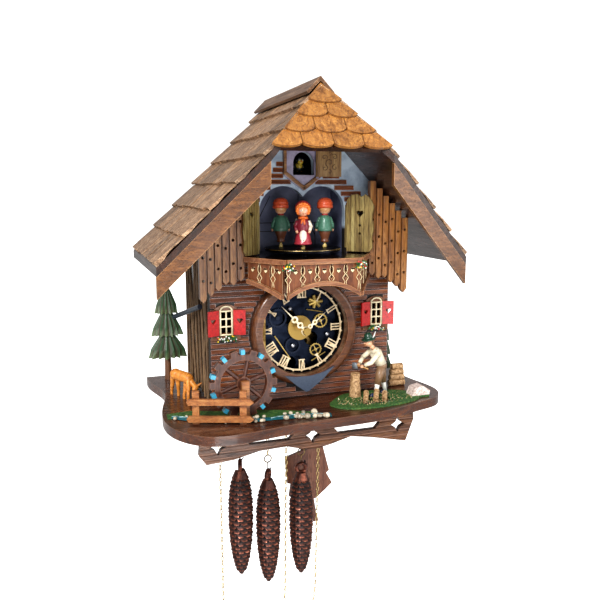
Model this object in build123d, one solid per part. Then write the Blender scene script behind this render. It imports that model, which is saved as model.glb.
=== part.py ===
"""A wall clock shaped like a mountain chalet, with a cuckoo, dancers and a water wheel.

Lengths are millimetres. The origin is the mouth of the hanger hole in the back
panel, where the clock meets the wall. +X is the viewer's right, +Y goes into the
wall and +Z is up. Each function below makes one node of the clock.
"""

import os
from math import acos, atan2, cos, degrees, hypot, pi, radians, sin, tan

from build123d import *

# Case
CASE_HALF = 105.0
CASE_FRONT = -140.0
FRONT_T = 7.0
WALL_T = 6.0
BACK_T = 4.0
HANGER_R = 4.2
BASE_TOP = -240.0
BASE_T = 10.0

# Roof, measured on the outside of the shingles
RIDGE_Z = 97.0
EAVE_HALF = 170.0
EAVE_Z = -76.7
RIDGE_FRONT = -194.0
EAVE_FRONT = -202.0
HIP_HALF = 63.2
HIP_FRONT = -229.6
SHINGLE_T = 5.0
SHINGLE_TAPER = 3.2
SHINGLE_ROWS = 7
ROOF_T = 6.0
CAP_T = 3.0
CAP_W = 18.0
BARGE_T = 5.0
BARGE_H = 15.0

# Apron below the base
APRON_HALF = 125.0
APRON_FRONT = -172.0
APRON_T = 6.0
APRON_H = 44.0

# Slatted panels beside the balcony
SLAT_IN = 71.0
SLAT_W = 7.9
SLAT_COUNT = 6
SLAT_FRONT = -159.0
SLAT_T = 6.0
SLAT_LOW = (-103.0, -107.0, -106.0, -112.0, -117.0, -124.0)

# Balcony
BALCONY_FRONT = -205.0
BALCONY_HALF = 40.0
BALCONY_BACK_HALF = 70.0
FLOOR_TOP = -78.0
FLOOR_T = 4.0
BOARD_T = 3.0
BOARD_CORNER_LOW = -113.0
BOARD_MIDDLE_LOW = -100.0
RAIL_T = 2.5
RAIL_H = 5.0
TRIM_H = 4.5

# Dancers' niche and carousel
ARCH_R = 27.0
ARCH_X = 22.0
ARCH_Z = -32.0
NICHE_BACK = -97.0
NICHE_WALL = 2.7
NICHE_TOP = 0.0
DISC_R = 41.0
DISC_T = 3.0
DISC_TOP = -71.0
SPINDLE_R = 2.5
SPINDLE_FIT = 0.08
DANCER_RING = 24.0
DANCER_TURN = 19.0
BOY_H = 54.5
GIRL_H = 51.0
DANCE_SHUTTER_W = 32.0
DANCE_SHUTTER_H = 63.0
DANCE_SHUTTER_ANGLE = 46.0

# Cuckoo window, door and bird
WINDOW_HALF = 12.0
WINDOW_LOW = 6.6
WINDOW_ARCH_Z = 19.0
SURROUND_HALF = 20.0
SURROUND_T = 3.0
DOOR_W = 26.0
DOOR_H = 29.6
DOOR_T = 2.6
DOOR_LOW = 4.8
DOOR_X = 14.0
DOOR_Y = -146.3
DOOR_OPEN = 170.0
PIN_R = 0.7
PIN_FIT = 0.06
BIRD_Z = 16.0
BIRD_TIP = -138.5

# Dial and hands
DIAL_Z = -162.6
DIAL_OUTER = 61.0
DIAL_INNER = 50.0
DIAL_DEPTH = 12.0
CHAPTER_R = 47.0
CHAPTER_BAND = 1.7
CHAPTER_T = 1.5
CHAPTER_BACK = -135.5
SCALLOPS = 30
NUMERAL_IN = 35.0
HOUR_ANGLE = 50.0
MINUTE_ANGLE = 316.0
HOUR_LENGTH = 31.0
MINUTE_LENGTH = 41.5
HAND_T = 1.0
ARBOR_R = 1.5
PIPE_R = 2.6
HAND_FIT = 0.08

# Small windows
SIDE_WINDOW_X = 88.0
SIDE_WINDOW_Z = -148.5
GLASS_HALF = 7.5
GLASS_H = 27.0
SHUTTER_W = 13.5
SHUTTER_H = 27.0
SHUTTER_T = 2.0
SHUTTER_ANGLE = 20.0

# Water wheel, its post and the fence
WHEEL_X = -81.0
WHEEL_Y = -185.0
WHEEL_Z = -204.0
WHEEL_R = 30.5
WHEEL_RIM = 6.0
WHEEL_W = 7.0
BLADES = 10
BLADE_R = 35.2
AXLE_R = 2.0
AXLE_FIT = 0.08
POST_W = 8.0

# Wood chopper
SHOULDER_PIN = 1.0

# Movement
PLATE_HALF = 44.0
PLATE_T = 1.5
PLATE_TOP = -112.0
PLATE_LOW = -217.0
FRONT_PLATE = -128.0
BACK_PLATE = -90.0
CHAIN_Y = -100.0
CHAIN_D = 4.0
CHAIN_FIT = 0.3
PULLEY_R = 12.2
PULLEY_Z = -190.0
PULLEY_X = (-76.2, -17.7, 24.7)
LOAD_SIDE = (1, -1, -1)

# Pendulum
PIVOT_Y = -55.0
PIVOT_Z = -160.0
SWING = 9.75
STICK_L = 285.0
STICK_W = 6.0
STICK_T = 3.0
BOB_T = 3.5
HANGER_PIN_R = 1.6
HANGER_PIN_FIT = 0.1

# Weights: the top of each cone's cap
CONE_TOP = (-321.0, -338.0, -335.0)
CONE_L = 147.0
CONE_R = 16.0
CAP_TURN = (75.0, 55.0, 0.0)
CAP_R = 6.6
CAP_WIRE = 2.7
RING_R = 4.5
RING_WIRE = 0.8
RING_UP = 12.0

# Where the pull side of each chain ends in its hank
HANK_TOP = -533.0
HANK_H = 74.0
HANK_W = 21.0
FREE_END = (-87.0, -9.0, 31.0)

SLOPE = (RIDGE_Z - EAVE_Z) / EAVE_HALF
PITCH = atan2(RIDGE_Z - EAVE_Z, EAVE_HALF)
ROOF_DROP = (SHINGLE_T + ROOF_T) / cos(PITCH)
CASE_BACK = -BACK_T


def roof_under(x):
    """Height of the roof boards' underside at a distance from the middle."""
    return RIDGE_Z - SLOPE * abs(x) - ROOF_DROP


def box(x0, x1, y0, y1, z0, z1):
    middle = Pos((x0 + x1) / 2, (y0 + y1) / 2, (z0 + z1) / 2)
    return middle * Box(abs(x1 - x0), abs(y1 - y0), abs(z1 - z0))


def plate_xz(points, front, back):
    """A flat piece with an outline in X and Z, between two Y planes."""
    outline = Polyline(*[(x, front, z) for x, z in points], close=True)
    return extrude(make_face(outline), amount=back - front, dir=(0, 1, 0))


def plate_xy(points, low, high):
    outline = Polyline(*[(x, y, low) for x, y in points], close=True)
    return extrude(make_face(outline), amount=high - low, dir=(0, 0, 1))


def rod(start, end, radius):
    """A round bar between two points."""
    axis = Vector(*end) - Vector(*start)
    place = Plane(origin=start, z_dir=axis)
    return place * Cylinder(radius, axis.length, align=(Align.CENTER, Align.CENTER, Align.MIN))


def taper(start, end, radius, end_radius):
    axis = Vector(*end) - Vector(*start)
    place = Plane(origin=start, z_dir=axis)
    align = (Align.CENTER, Align.CENTER, Align.MIN)
    return place * Cone(radius, end_radius, axis.length, align=align)


def ball(x, y, z, radius):
    return Pos(x, y, z) * Sphere(radius)


def join(pieces):
    whole = pieces[0]
    for piece in pieces[1:]:
        whole = whole + piece
    return whole


def mirrored(shape):
    return mirror(shape, about=Plane.YZ)


# ---------------------------------------------------------------- case

def gable(x, foot):
    """Outline of the case's front and back, up to the roof boards."""
    side = roof_under(x)
    return [(-x, foot), (x, foot), (x, side), (0, roof_under(0)), (-x, side)]


def arch_opening(front, back):
    """The two joined arches in front of the dancers."""
    low = FLOOR_TOP - FLOOR_T
    hole = box(-ARCH_X - ARCH_R, ARCH_X + ARCH_R, front, back, low, ARCH_Z)
    for side in (-1, 1):
        hole += rod((side * ARCH_X, front, ARCH_Z), (side * ARCH_X, back, ARCH_Z), ARCH_R)
    return hole


def cuckoo_opening(front, back):
    low = box(-WINDOW_HALF, WINDOW_HALF, front, back, WINDOW_LOW, WINDOW_ARCH_Z)
    return low + rod((0, front, WINDOW_ARCH_Z), (0, back, WINDOW_ARCH_Z), WINDOW_HALF)


def front_panel():
    """Three boards edge to edge: one round the dial, and one each side above the balcony."""
    back = CASE_FRONT + FRONT_T
    panel = plate_xz(gable(CASE_HALF, BASE_TOP), CASE_FRONT, back)
    panel -= arch_opening(CASE_FRONT - 1, back + 1)
    panel -= cuckoo_opening(CASE_FRONT - 1, back + 1)
    panel -= rod((0, CASE_FRONT - 1, DIAL_Z), (0, back + 1, DIAL_Z), DIAL_INNER + 1)
    for side in (-1, 1):
        x = side * SIDE_WINDOW_X
        half = GLASS_HALF - 1
        low = SIDE_WINDOW_Z - GLASS_H / 2 + 1
        high = SIDE_WINDOW_Z + GLASS_H / 2 - 1
        panel -= box(x - half, x + half, CASE_FRONT - 1, back + 1, low, high)
    seam = FLOOR_TOP - FLOOR_T
    peak = roof_under(0) + 1
    dial_board = panel & box(-CASE_HALF, CASE_HALF, CASE_FRONT, back, BASE_TOP, seam)
    left_board = panel & box(-CASE_HALF, 0, CASE_FRONT, back, seam, peak)
    right_board = panel & box(0, CASE_HALF, CASE_FRONT, back, seam, peak)
    return Compound([dial_board, left_board, right_board])


def side_walls():
    inner = CASE_HALF - WALL_T
    outline = [
        (inner, BASE_TOP),
        (CASE_HALF, BASE_TOP),
        (CASE_HALF, roof_under(CASE_HALF)),
        (inner, roof_under(inner)),
    ]
    wall = plate_xz(outline, CASE_FRONT + FRONT_T, CASE_BACK)
    return Compound([wall, mirrored(wall)])


def back_panel():
    panel = plate_xz(gable(CASE_HALF, BASE_TOP), CASE_BACK, 0)
    return panel - rod((0, CASE_BACK - 1, 0), (0, 1, 0), HANGER_R)


def base_platform():
    """The board that the house and the garden stand on, with a sawn edge."""
    low = BASE_TOP - BASE_T
    edge = [
        (-157, 0), (-153, -38), (-146, -78), (-152, -112), (-159, -148), (-155, -196),
        (-128, -229), (-64, -228), (0, -222), (84, -213), (116, -202), (143, -191),
        (157, -167), (156, -140), (150, -108), (153, -50), (157, 0),
    ]
    curve = Spline(*[(x, y, low) for x, y in edge])
    back = Line((157, 0, low), (-157, 0, low))
    board = extrude(make_face([curve, back]), amount=BASE_T, dir=(0, 0, 1))
    for x in PULLEY_X:
        reach = PULLEY_R + CHAIN_D
        slot = (x - reach, x + reach, CHAIN_Y - 5, CHAIN_Y + 5)
        board -= box(*slot, low - 1, BASE_TOP + 1)
    swung = (PIVOT_Z - low) * tan(radians(SWING)) + 7.5
    board -= box(-swung, swung, PIVOT_Y - 5.5, PIVOT_Y + 5.5, low - 1, BASE_TOP + 1)
    return board


def star(x, z, reach, waist):
    points = []
    for step in range(8):
        radius = reach if step % 2 == 0 else waist
        points.append((x + radius * sin(step * pi / 4), z + radius * cos(step * pi / 4)))
    return plate_xz(points, APRON_FRONT - 1, APRON_FRONT + APRON_T + 1)


def apron():
    """The ridged board under the base, with stars and long slots cut through it."""
    top = BASE_TOP - BASE_T
    low = top - APRON_H
    half = APRON_HALF
    wave = [
        (half - 10, low - 2), (70, low + 8), (46, low + 12), (22, low + 6), (4, low + 3),
        (-12, low + 5), (-30, low + 10), (-60, low + 9), (-88, low + 3), (-half + 7, low + 1),
    ]
    left = [(-half - 1, low + 12), (-half, low + 22), (-half + 7, low + 32), (-half + 10, top)]
    right = [(half - 2, top), (half, top - 20)]
    board = plate_xz(wave + left + right, APRON_FRONT, APRON_FRONT + APRON_T)
    for x in (-105.5, 0.5, 104.5):
        board -= star(x, low + 19, 9.0, 4.5)
    for x in (-49.0, 54.0):
        middle = low + 24
        slot = [(x - 28, middle), (x - 22, middle + 6.5), (x + 22, middle + 6.5), (x + 28, middle)]
        slot += [(x + 22, middle - 6.5), (x - 22, middle - 6.5)]
        board -= plate_xz(slot, APRON_FRONT - 1, APRON_FRONT + APRON_T + 1)
    return board


# ---------------------------------------------------------------- roof

def roof_plan(reach):
    """One side of the roof seen from above: the front edge runs from the hip."""
    steep = (EAVE_FRONT - HIP_FRONT) / (EAVE_HALF - HIP_HALF)
    corner = HIP_FRONT + steep * (reach - HIP_HALF)
    points = [(0, 0), (0, RIDGE_FRONT), (HIP_HALF, HIP_FRONT), (reach, corner), (reach, 0)]
    return plate_xy(points, EAVE_Z - 40, RIDGE_Z + 20)


def on_slope(along, up):
    """A point in X and Z, at a length down the right-hand slope and a height off it."""
    x = along * cos(PITCH) + up * sin(PITCH)
    return (x, RIDGE_Z - along * sin(PITCH) + up * cos(PITCH))


def slope_band(top, low, reach):
    """Everything between two planes parallel to the right-hand slope."""
    high = top / cos(PITCH)
    deep = low / cos(PITCH)
    end = RIDGE_Z - SLOPE * reach
    points = [(0, RIDGE_Z + high), (reach, end + high), (reach, end + deep), (0, RIDGE_Z + deep)]
    return plate_xz(points, HIP_FRONT - 1, 0)


def roof_right():
    reach = EAVE_HALF - 3
    return slope_band(-SHINGLE_T, -SHINGLE_T - ROOF_T, reach) & roof_plan(reach)


def shingles_right():
    """Overlapping rows, thick at their lower edges."""
    length = hypot(EAVE_HALF, RIDGE_Z - EAVE_Z)
    row = length / SHINGLE_ROWS
    points = [on_slope(0, -SHINGLE_T), on_slope(length, -SHINGLE_T)]
    for step in range(SHINGLE_ROWS):
        edge = length - step * row
        points.append(on_slope(edge, 0))
        points.append(on_slope(edge - row, -SHINGLE_TAPER))
    return plate_xz(points, HIP_FRONT - 1, 0) & roof_plan(EAVE_HALF)


def ridge_cap():
    right = plate_xz(
        [
            (0, RIDGE_Z), on_slope(CAP_W, 0), on_slope(CAP_W, CAP_T),
            (0, RIDGE_Z + CAP_T / cos(PITCH)),
        ],
        RIDGE_FRONT + 2,
        0,
    )
    return right + mirrored(right)


def hip_place():
    """The hip's plane, with its top corner as origin and Y up its slope."""
    down = Vector(0, HIP_FRONT - RIDGE_FRONT, -SLOPE * HIP_HALF)
    outward = Vector(1, 0, 0).cross(down)
    if outward.Z < 0:
        outward = outward * -1
    return Plane(origin=(0, RIDGE_FRONT, RIDGE_Z), x_dir=(1, 0, 0), z_dir=outward), down.length


def hip_roof():
    """The steep little roof over the front, with three rows of round-ended shingles."""
    place, length = hip_place()
    widen = HIP_HALF / length
    floor = place * Pos(0, 0, -SHINGLE_T) * extrude(
        make_face(Polyline((0, 0), (-HIP_HALF, -length), (HIP_HALF, -length), close=True)),
        amount=-ROOF_T,
    )
    pieces = [floor]
    row = length / 3
    for step, count in enumerate((4, 3, 1)):
        low = -length + step * row
        wide = 2 * widen * -low
        size = wide / count
        high = low + row
        for number in range(count):
            x = -wide / 2 + size * (number + 0.5)
            tile = Pos(x, (low + high) / 2, -SHINGLE_T / 2) * Box(size, row, SHINGLE_T)
            end = Pos(x, low, -SHINGLE_T / 2) * scale(Cylinder(size / 2, SHINGLE_T), by=(1, 0.28, 1))
            pieces += [place * tile, place * end]
    roof = join(pieces)
    inside = plate_xy(
        [(0, RIDGE_FRONT), (-HIP_HALF, HIP_FRONT), (-HIP_HALF, HIP_FRONT - 12),
         (HIP_HALF, HIP_FRONT - 12), (HIP_HALF, HIP_FRONT)],
        0,
        RIDGE_Z + 10,
    )
    return roof & inside


def bargeboards():
    """The boards hung under the roof's two front edges."""
    steep = (EAVE_FRONT - HIP_FRONT) / (EAVE_HALF - HIP_HALF)
    reach = EAVE_HALF - 3
    corner = HIP_FRONT + steep * (reach - HIP_HALF)
    strip = plate_xy(
        [(HIP_HALF, HIP_FRONT), (reach, corner), (reach, corner + BARGE_T),
         (HIP_HALF, HIP_FRONT + BARGE_T)],
        EAVE_Z - 60,
        RIDGE_Z,
    )
    under = -SHINGLE_T - ROOF_T
    board = slope_band(under, under - BARGE_H, reach) & strip
    return Compound([board, mirrored(board)])


# ---------------------------------------------------------------- panels and balcony

def slat_panel():
    """Upright grooved boards with drilled holes, stepped under the roof."""
    boards = []
    for number in range(SLAT_COUNT):
        left = SLAT_IN + number * SLAT_W
        right = left + SLAT_W
        top = roof_under(right)
        low = SLAT_LOW[number]
        middle = (left + right) / 2
        points = [(left, top), (left, low + 5), (left + 1.2, low + 3), (middle, low)]
        points += [(right - 1.2, low + 3), (right, low + 5), (right, top)]
        board = plate_xz(points, SLAT_FRONT, SLAT_FRONT + SLAT_T)
        for step in range(3):
            z = low + 14 + step * 24 + (number % 2) * 9
            if z < top - 6:
                board -= rod((middle, SLAT_FRONT - 1, z), (middle, SLAT_FRONT + SLAT_T + 1, z), 1.5)
        boards.append(board)
    batten = box(SLAT_IN + 5, CASE_HALF - 4, SLAT_FRONT + SLAT_T, CASE_FRONT, -92, -62)
    panel = join(boards + [batten])
    for number in range(1, SLAT_COUNT):
        x = SLAT_IN + number * SLAT_W
        groove = plate_xy(
            [(x - 0.9, SLAT_FRONT - 1), (x + 0.9, SLAT_FRONT - 1), (x + 0.3, SLAT_FRONT + 2),
             (x - 0.3, SLAT_FRONT + 2)],
            SLAT_LOW[-1] - 1,
            roof_under(0),
        )
        panel -= groove
    return panel


def balcony_floor():
    """One board: the balcony outside and the dancers' floor inside."""
    door = ARCH_X + ARCH_R - 0.3
    right = [
        (door, NICHE_BACK), (door, CASE_FRONT), (BALCONY_BACK_HALF, CASE_FRONT),
        (BALCONY_BACK_HALF, SLAT_FRONT), (BALCONY_HALF, BALCONY_FRONT),
    ]
    left = [(-x, y) for x, y in reversed(right)]
    board = plate_xy(right + left, FLOOR_TOP - FLOOR_T, FLOOR_TOP)
    bore = rod((0, CASE_FRONT, FLOOR_TOP - 10), (0, CASE_FRONT, FLOOR_TOP + 1), SPINDLE_R + SPINDLE_FIT)
    return board - bore


def heart(x, z, size, front, back):
    lobe = size * 0.27
    hole = rod((x - lobe, front, z), (x - lobe, back, z), lobe * 1.08)
    hole += rod((x + lobe, front, z), (x + lobe, back, z), lobe * 1.08)
    tip = [(x - lobe * 1.95, z - lobe * 0.4), (x + lobe * 1.95, z - lobe * 0.4), (x, z - size * 0.75)]
    return hole + plate_xz(tip, front, back)


def board_row(width, count, left_low, right_low, middle_low):
    """Balcony boards side by side from X = 0, with hearts and baluster cuts."""
    top = FLOOR_TOP - FLOOR_T
    edges = [
        Line((0, 0, top), (width, 0, top)),
        Line((width, 0, top), (width, 0, right_low)),
        ThreePointArc((width, 0, right_low), (width / 2, 0, middle_low), (0, 0, left_low)),
        Line((0, 0, left_low), (0, 0, top)),
    ]
    row = extrude(make_face(edges), amount=BOARD_T, dir=(0, 1, 0))
    pitch = width / count
    for number in range(count):
        row -= heart(pitch * (number + 0.5), top - 6.5, 4.2, -1, BOARD_T + 1)
        if number:
            x = pitch * number
            cut = [(x - 0.5, top - 1), (x + 0.5, top - 1), (x + 2.2, top - 6), (x + 0.8, top - 10)]
            cut += [(x + 1.8, top - 13), (x, top - 16.5)]
            cut += [(x - 1.8, top - 13), (x - 0.8, top - 10), (x - 2.2, top - 6)]
            row -= plate_xz(cut, -1, BOARD_T + 1)
    return row


def along_balcony_side(shape):
    """Puts a piece made along X on the balcony's right-hand slanted side."""
    angle = degrees(atan2(SLAT_FRONT - BALCONY_FRONT, BALCONY_BACK_HALF - BALCONY_HALF))
    return Pos(BALCONY_HALF, BALCONY_FRONT, 0) * Rot(0, 0, angle) * shape


def balcony_boards():
    side_length = hypot(BALCONY_BACK_HALF - BALCONY_HALF, SLAT_FRONT - BALCONY_FRONT)
    gap = 0.5
    front = Pos(-BALCONY_HALF + gap, BALCONY_FRONT + gap, 0) * board_row(
        2 * (BALCONY_HALF - gap), 5, BOARD_CORNER_LOW, BOARD_CORNER_LOW, BOARD_MIDDLE_LOW
    )
    side = Pos(2 * BOARD_T, gap, 0) * board_row(
        side_length - 3 * BOARD_T, 3, BOARD_CORNER_LOW, BOARD_MIDDLE_LOW, BOARD_CORNER_LOW + 8
    )
    right = along_balcony_side(side)
    return Compound([front, right, mirrored(right)])


def trim_strip(width, left_low, right_low, middle_low):
    """A curved strip that hangs under a row of boards."""
    upper = ThreePointArc((width, 0, right_low), (width / 2, 0, middle_low), (0, 0, left_low))
    lower = ThreePointArc(
        (0, 0, left_low - TRIM_H), (width / 2, 0, middle_low - TRIM_H), (width, 0, right_low - TRIM_H)
    )
    ends = [Line(upper @ 1, lower @ 0), Line(lower @ 1, upper @ 0)]
    return extrude(make_face([upper, ends[0], lower, ends[1]]), amount=BOARD_T + RAIL_T, dir=(0, 1, 0))


def balcony_trim():
    """The handrail along the top and the wavy strip along the bottom."""
    side_length = hypot(BALCONY_BACK_HALF - BALCONY_HALF, SLAT_FRONT - BALCONY_FRONT)
    rail_low = FLOOR_TOP - RAIL_H + 0.5
    front_rail = box(
        -BALCONY_HALF, BALCONY_HALF, BALCONY_FRONT - RAIL_T, BALCONY_FRONT, rail_low, FLOOR_TOP + 0.5
    )
    side_rail = along_balcony_side(box(0, side_length, -RAIL_T, 0, rail_low, FLOOR_TOP + 0.5))
    gap = 0.5
    front = Pos(-BALCONY_HALF + gap, BALCONY_FRONT - RAIL_T, 0) * trim_strip(
        2 * (BALCONY_HALF - gap), BOARD_CORNER_LOW, BOARD_CORNER_LOW, BOARD_MIDDLE_LOW
    )
    side = along_balcony_side(
        Pos(2 * BOARD_T, -RAIL_T, 0) * trim_strip(
            side_length - 3 * BOARD_T, BOARD_CORNER_LOW, BOARD_MIDDLE_LOW, BOARD_CORNER_LOW + 8
        )
    )
    rails = front_rail + side_rail + mirrored(side_rail)
    return Compound([rails, front, side, mirrored(side)])


def niche_box():
    """Back, sides and ceiling of the dancers' room."""
    inner = ARCH_X + ARCH_R + 0.3
    outer = inner + NICHE_WALL
    front = CASE_FRONT + FRONT_T
    low = FLOOR_TOP - FLOOR_T
    room = box(-outer, outer, front, NICHE_BACK + NICHE_WALL, low, NICHE_TOP + NICHE_WALL)
    return room - box(-inner, inner, front - 1, NICHE_BACK, low - 1, NICHE_TOP)


def dancer_shutters():
    """Wide grooved shutters, standing open beside the arches."""
    width = DANCE_SHUTTER_W
    low = FLOOR_TOP + 1.5
    high = low + DANCE_SHUTTER_H
    points = [
        (0.5, low), (width - 5, low), (width - 1, low + 5), (width - 2, low + 16),
        (width, low + 26), (width - 2, low + 38), (width, low + 50), (width - 4, high - 5),
        (width - 10, high), (width - 14, high - 3), (width - 20, high), (6, high - 1), (0.5, high - 6),
    ]
    panel = plate_xz(points, 0, 2.5)
    for step in range(1, 6):
        x = step * width / 6
        panel -= box(x - 0.5, x + 0.5, -1, 0.8, low - 1, high + 1)
    panel -= heart(width * 0.5, high - 20, 7.0, -1, 4)
    for z in (high - 34, high - 43):
        panel -= rod((width * 0.5, -1, z), (width * 0.5, 4, z), 1.4)
    hinge = ARCH_X + ARCH_R + 1.0
    right = Pos(hinge, CASE_FRONT - 3.2, 0) * Rot(0, 0, -DANCE_SHUTTER_ANGLE) * panel
    foot = box(hinge - 0.5, hinge + 2.5, CASE_FRONT - 3.0, CASE_FRONT, low + 4, high - 12)
    right = right + foot
    return Compound([right, mirrored(right)])


# ---------------------------------------------------------------- cuckoo

def cuckoo_surround():
    """The pointed plate round the cuckoo's window, its V moulding and the hinge pin."""
    half = SURROUND_HALF
    front = CASE_FRONT - SURROUND_T
    top = DOOR_LOW + DOOR_H + 3.5
    plate = plate_xz([(-half, top), (half, top), (half, 8), (0, -5), (-half, 8)], front, CASE_FRONT)
    plate -= cuckoo_opening(front - 1, CASE_FRONT + 1)
    moulding = [
        (-half - 2.5, 12), (-half, 12), (-half, 8), (0, -5), (half, 8), (half, 12),
        (half + 2.5, 12), (half + 2.5, 6), (0, -10), (-half - 2.5, 6),
    ]
    plate += plate_xz(moulding, front - 1.5, CASE_FRONT)
    for low in (DOOR_LOW - 1.9, DOOR_LOW + DOOR_H + 0.3):
        plate += box(DOOR_X - 1.4, DOOR_X + 1.4, DOOR_Y - 1.4, CASE_FRONT, low, low + 1.6)
    pin_low = DOOR_LOW - 1.9
    plate += rod((DOOR_X, DOOR_Y, pin_low), (DOOR_X, DOOR_Y, DOOR_LOW + DOOR_H + 1.9), PIN_R)
    return plate


def cuckoo_door():
    """A door on a wire hinge, made shut and then swung open."""
    high = DOOR_LOW + DOOR_H
    leaf = box(-DOOR_W, 0, 0, DOOR_T, DOOR_LOW, high)
    leaf += rod((0, 0, DOOR_LOW), (0, 0, high), 1.35)
    leaf -= rod((0, 0, DOOR_LOW - 1), (0, 0, high + 1), PIN_R + PIN_FIT)
    return Pos(DOOR_X, DOOR_Y, 0) * Rot(0, 0, DOOR_OPEN) * leaf


def cuckoo():
    """The bird, on the wire that carries it back into the case."""
    tip, z = BIRD_TIP, BIRD_Z
    bird = taper((0, tip + 11, z + 2), (0, tip + 20, z - 0.5), 5.2, 4.2)
    bird += taper((0, tip + 19, z), (0, tip + 27, z - 2.5), 4.4, 2.0)
    bird += rod((0, tip + 7, z + 5.5), (0, tip + 14, z + 3.5), 4.4)
    bird += taper((0, tip + 8, z + 6), (0, tip, z + 5), 1.9, 0.3)
    return bird + rod((0, tip + 15, z - 2), (0, tip + 45, z - 2), 0.9)


# ---------------------------------------------------------------- carousel

def carousel_disc():
    x, y = 0, CASE_FRONT
    disc = rod((x, y, DISC_TOP - DISC_T), (x, y, DISC_TOP), DISC_R)
    low = FLOOR_TOP - FLOOR_T + 0.1
    hub = rod((x, y, FLOOR_TOP + 0.4), (x, y, DISC_TOP - DISC_T), 6.0)
    return disc + hub + rod((x, y, low), (x, y, DISC_TOP), SPINDLE_R)


def dancer_place(number):
    """Four places round the carousel, each figure facing outwards."""
    angle = radians(-90 - DANCER_TURN + number * 90)
    x = DANCER_RING * cos(angle)
    y = CASE_FRONT + DANCER_RING * sin(angle)
    return x, y, degrees(angle) + 90


def boy():
    """A turned figure on a brass pin: trousers, jacket, arms, head and hat."""
    figure = rod((0, 0, 0), (0, 0, 6), 1.8)
    figure += taper((0, 0, 5), (0, 0, 18), 4.0, 6.8)
    figure += taper((0, 0, 18), (0, 0, 33), 7.8, 5.6)
    figure += ball(0, 0, 33, 5.6)
    figure += ball(0, 0, 42, 6.4)
    figure += rod((0, 0, 43), (0, 0, 46), 8.6)
    figure += Pos(0, 0, 46) * scale(Sphere(8.5), by=(1, 1, (BOY_H - 46) / 8.5))
    for side in (-1, 1):
        figure += rod((side * 6.2, 0, 31), (side * 9.0, 0, 20), 1.9)
        figure += ball(side * 9.0, 0, 19.5, 2.1)
    return figure


def girl():
    """A turned figure in a wide skirt and a bonnet."""
    figure = rod((0, 0, 0), (0, 0, 5), 1.8)
    figure += taper((0, 0, 4), (0, 0, 19), 9.4, 5.6)
    figure += taper((0, 0, 19), (0, 0, 31), 6.6, 5.0)
    figure += ball(0, 0, 31, 5.0)
    figure += ball(0, 0, 41, 6.6)
    figure += Pos(0, 0.8, 42.5) * scale(Sphere(8.5), by=(1, 0.95, (GIRL_H - 42.5) / 8.5))
    for side in (-1, 1):
        figure += rod((side * 5.6, 0, 29), (side * 8.0, -1.5, 19), 1.8)
        figure += ball(side * 8.0, -1.5, 18, 2.0)
    return figure


def on_carousel(figure, number):
    x, y, turn = dancer_place(number)
    return Pos(x, y, DISC_TOP) * Rot(0, 0, turn) * figure


# ---------------------------------------------------------------- dial and windows

def dial_ring():
    """The turned wooden ring round the dial, with the pointed piece under it."""
    front = CASE_FRONT - DIAL_DEPTH
    ring = rod((0, front, DIAL_Z), (0, CASE_FRONT, DIAL_Z), DIAL_OUTER)
    ring = fillet(ring.edges().group_by(Axis.Y)[0], 5.0)
    ring -= rod((0, front - 1, DIAL_Z), (0, CASE_FRONT + 1, DIAL_Z), DIAL_INNER)
    point = [(-26, DIAL_Z - 46), (30, DIAL_Z - 46), (30, DIAL_Z - 49), (1, DIAL_Z - 68)]
    drop = plate_xz(point, CASE_FRONT - 5, CASE_FRONT)
    drop -= rod((0, CASE_FRONT - 6, DIAL_Z), (0, CASE_FRONT + 1, DIAL_Z), DIAL_OUTER - 4)
    return ring + drop


def on_dial(angle, radius):
    """A point at a clock angle, in degrees from twelve."""
    return radius * sin(radians(angle)), DIAL_Z + radius * cos(radians(angle))


def bar(start, end, width, front, back):
    """A flat bar between two points of the dial's plane."""
    x0, z0 = start
    x1, z1 = end
    length = hypot(x1 - x0, z1 - z0)
    nx, nz = (z1 - z0) / length * width / 2, -(x1 - x0) / length * width / 2
    points = [(x0 + nx, z0 + nz), (x1 + nx, z1 + nz), (x1 - nx, z1 - nz), (x0 - nx, z0 - nz)]
    return plate_xz(points, front, back)


NUMERALS = {
    1: "I", 2: "II", 3: "III", 4: "IIII", 5: "V", 6: "VI",
    7: "VII", 8: "VIII", 9: "IX", 10: "X", 11: "XI", 12: "XII",
}
STROKE_W = 1.3
LETTER_W = {"I": 3.1, "V": 5.0, "X": 5.4}


def numeral(hour, front, back):
    """One numeral, its letters set side by side with their feet towards the middle."""
    text = NUMERALS[hour]
    total = sum(LETTER_W[letter] for letter in text)
    high = CHAPTER_R - CHAPTER_BAND / 2
    angle = radians(hour * 30)

    def place(across, radius):
        x = across * cos(angle) + radius * sin(angle)
        return x, DIAL_Z - across * sin(angle) + radius * cos(angle)

    strokes = []
    at = -total / 2
    for letter in text:
        wide = LETTER_W[letter]
        middle = at + wide / 2
        lean = wide / 2 - 0.9
        if letter == "I":
            strokes.append((middle, middle))
        if letter == "V":
            strokes += [(middle - 0.3, middle - lean), (middle + 0.3, middle + lean)]
        if letter == "X":
            strokes += [(middle - lean, middle + lean), (middle + lean, middle - lean)]
        at += wide
    bars = [bar(place(foot, NUMERAL_IN), place(head, high), STROKE_W, front, back) for foot, head in strokes]
    half = total / 2 - 0.4
    bars.append(bar(place(-half, NUMERAL_IN + 0.6), place(half, NUMERAL_IN + 0.6), 1.2, front, back))
    return join(bars)


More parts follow.
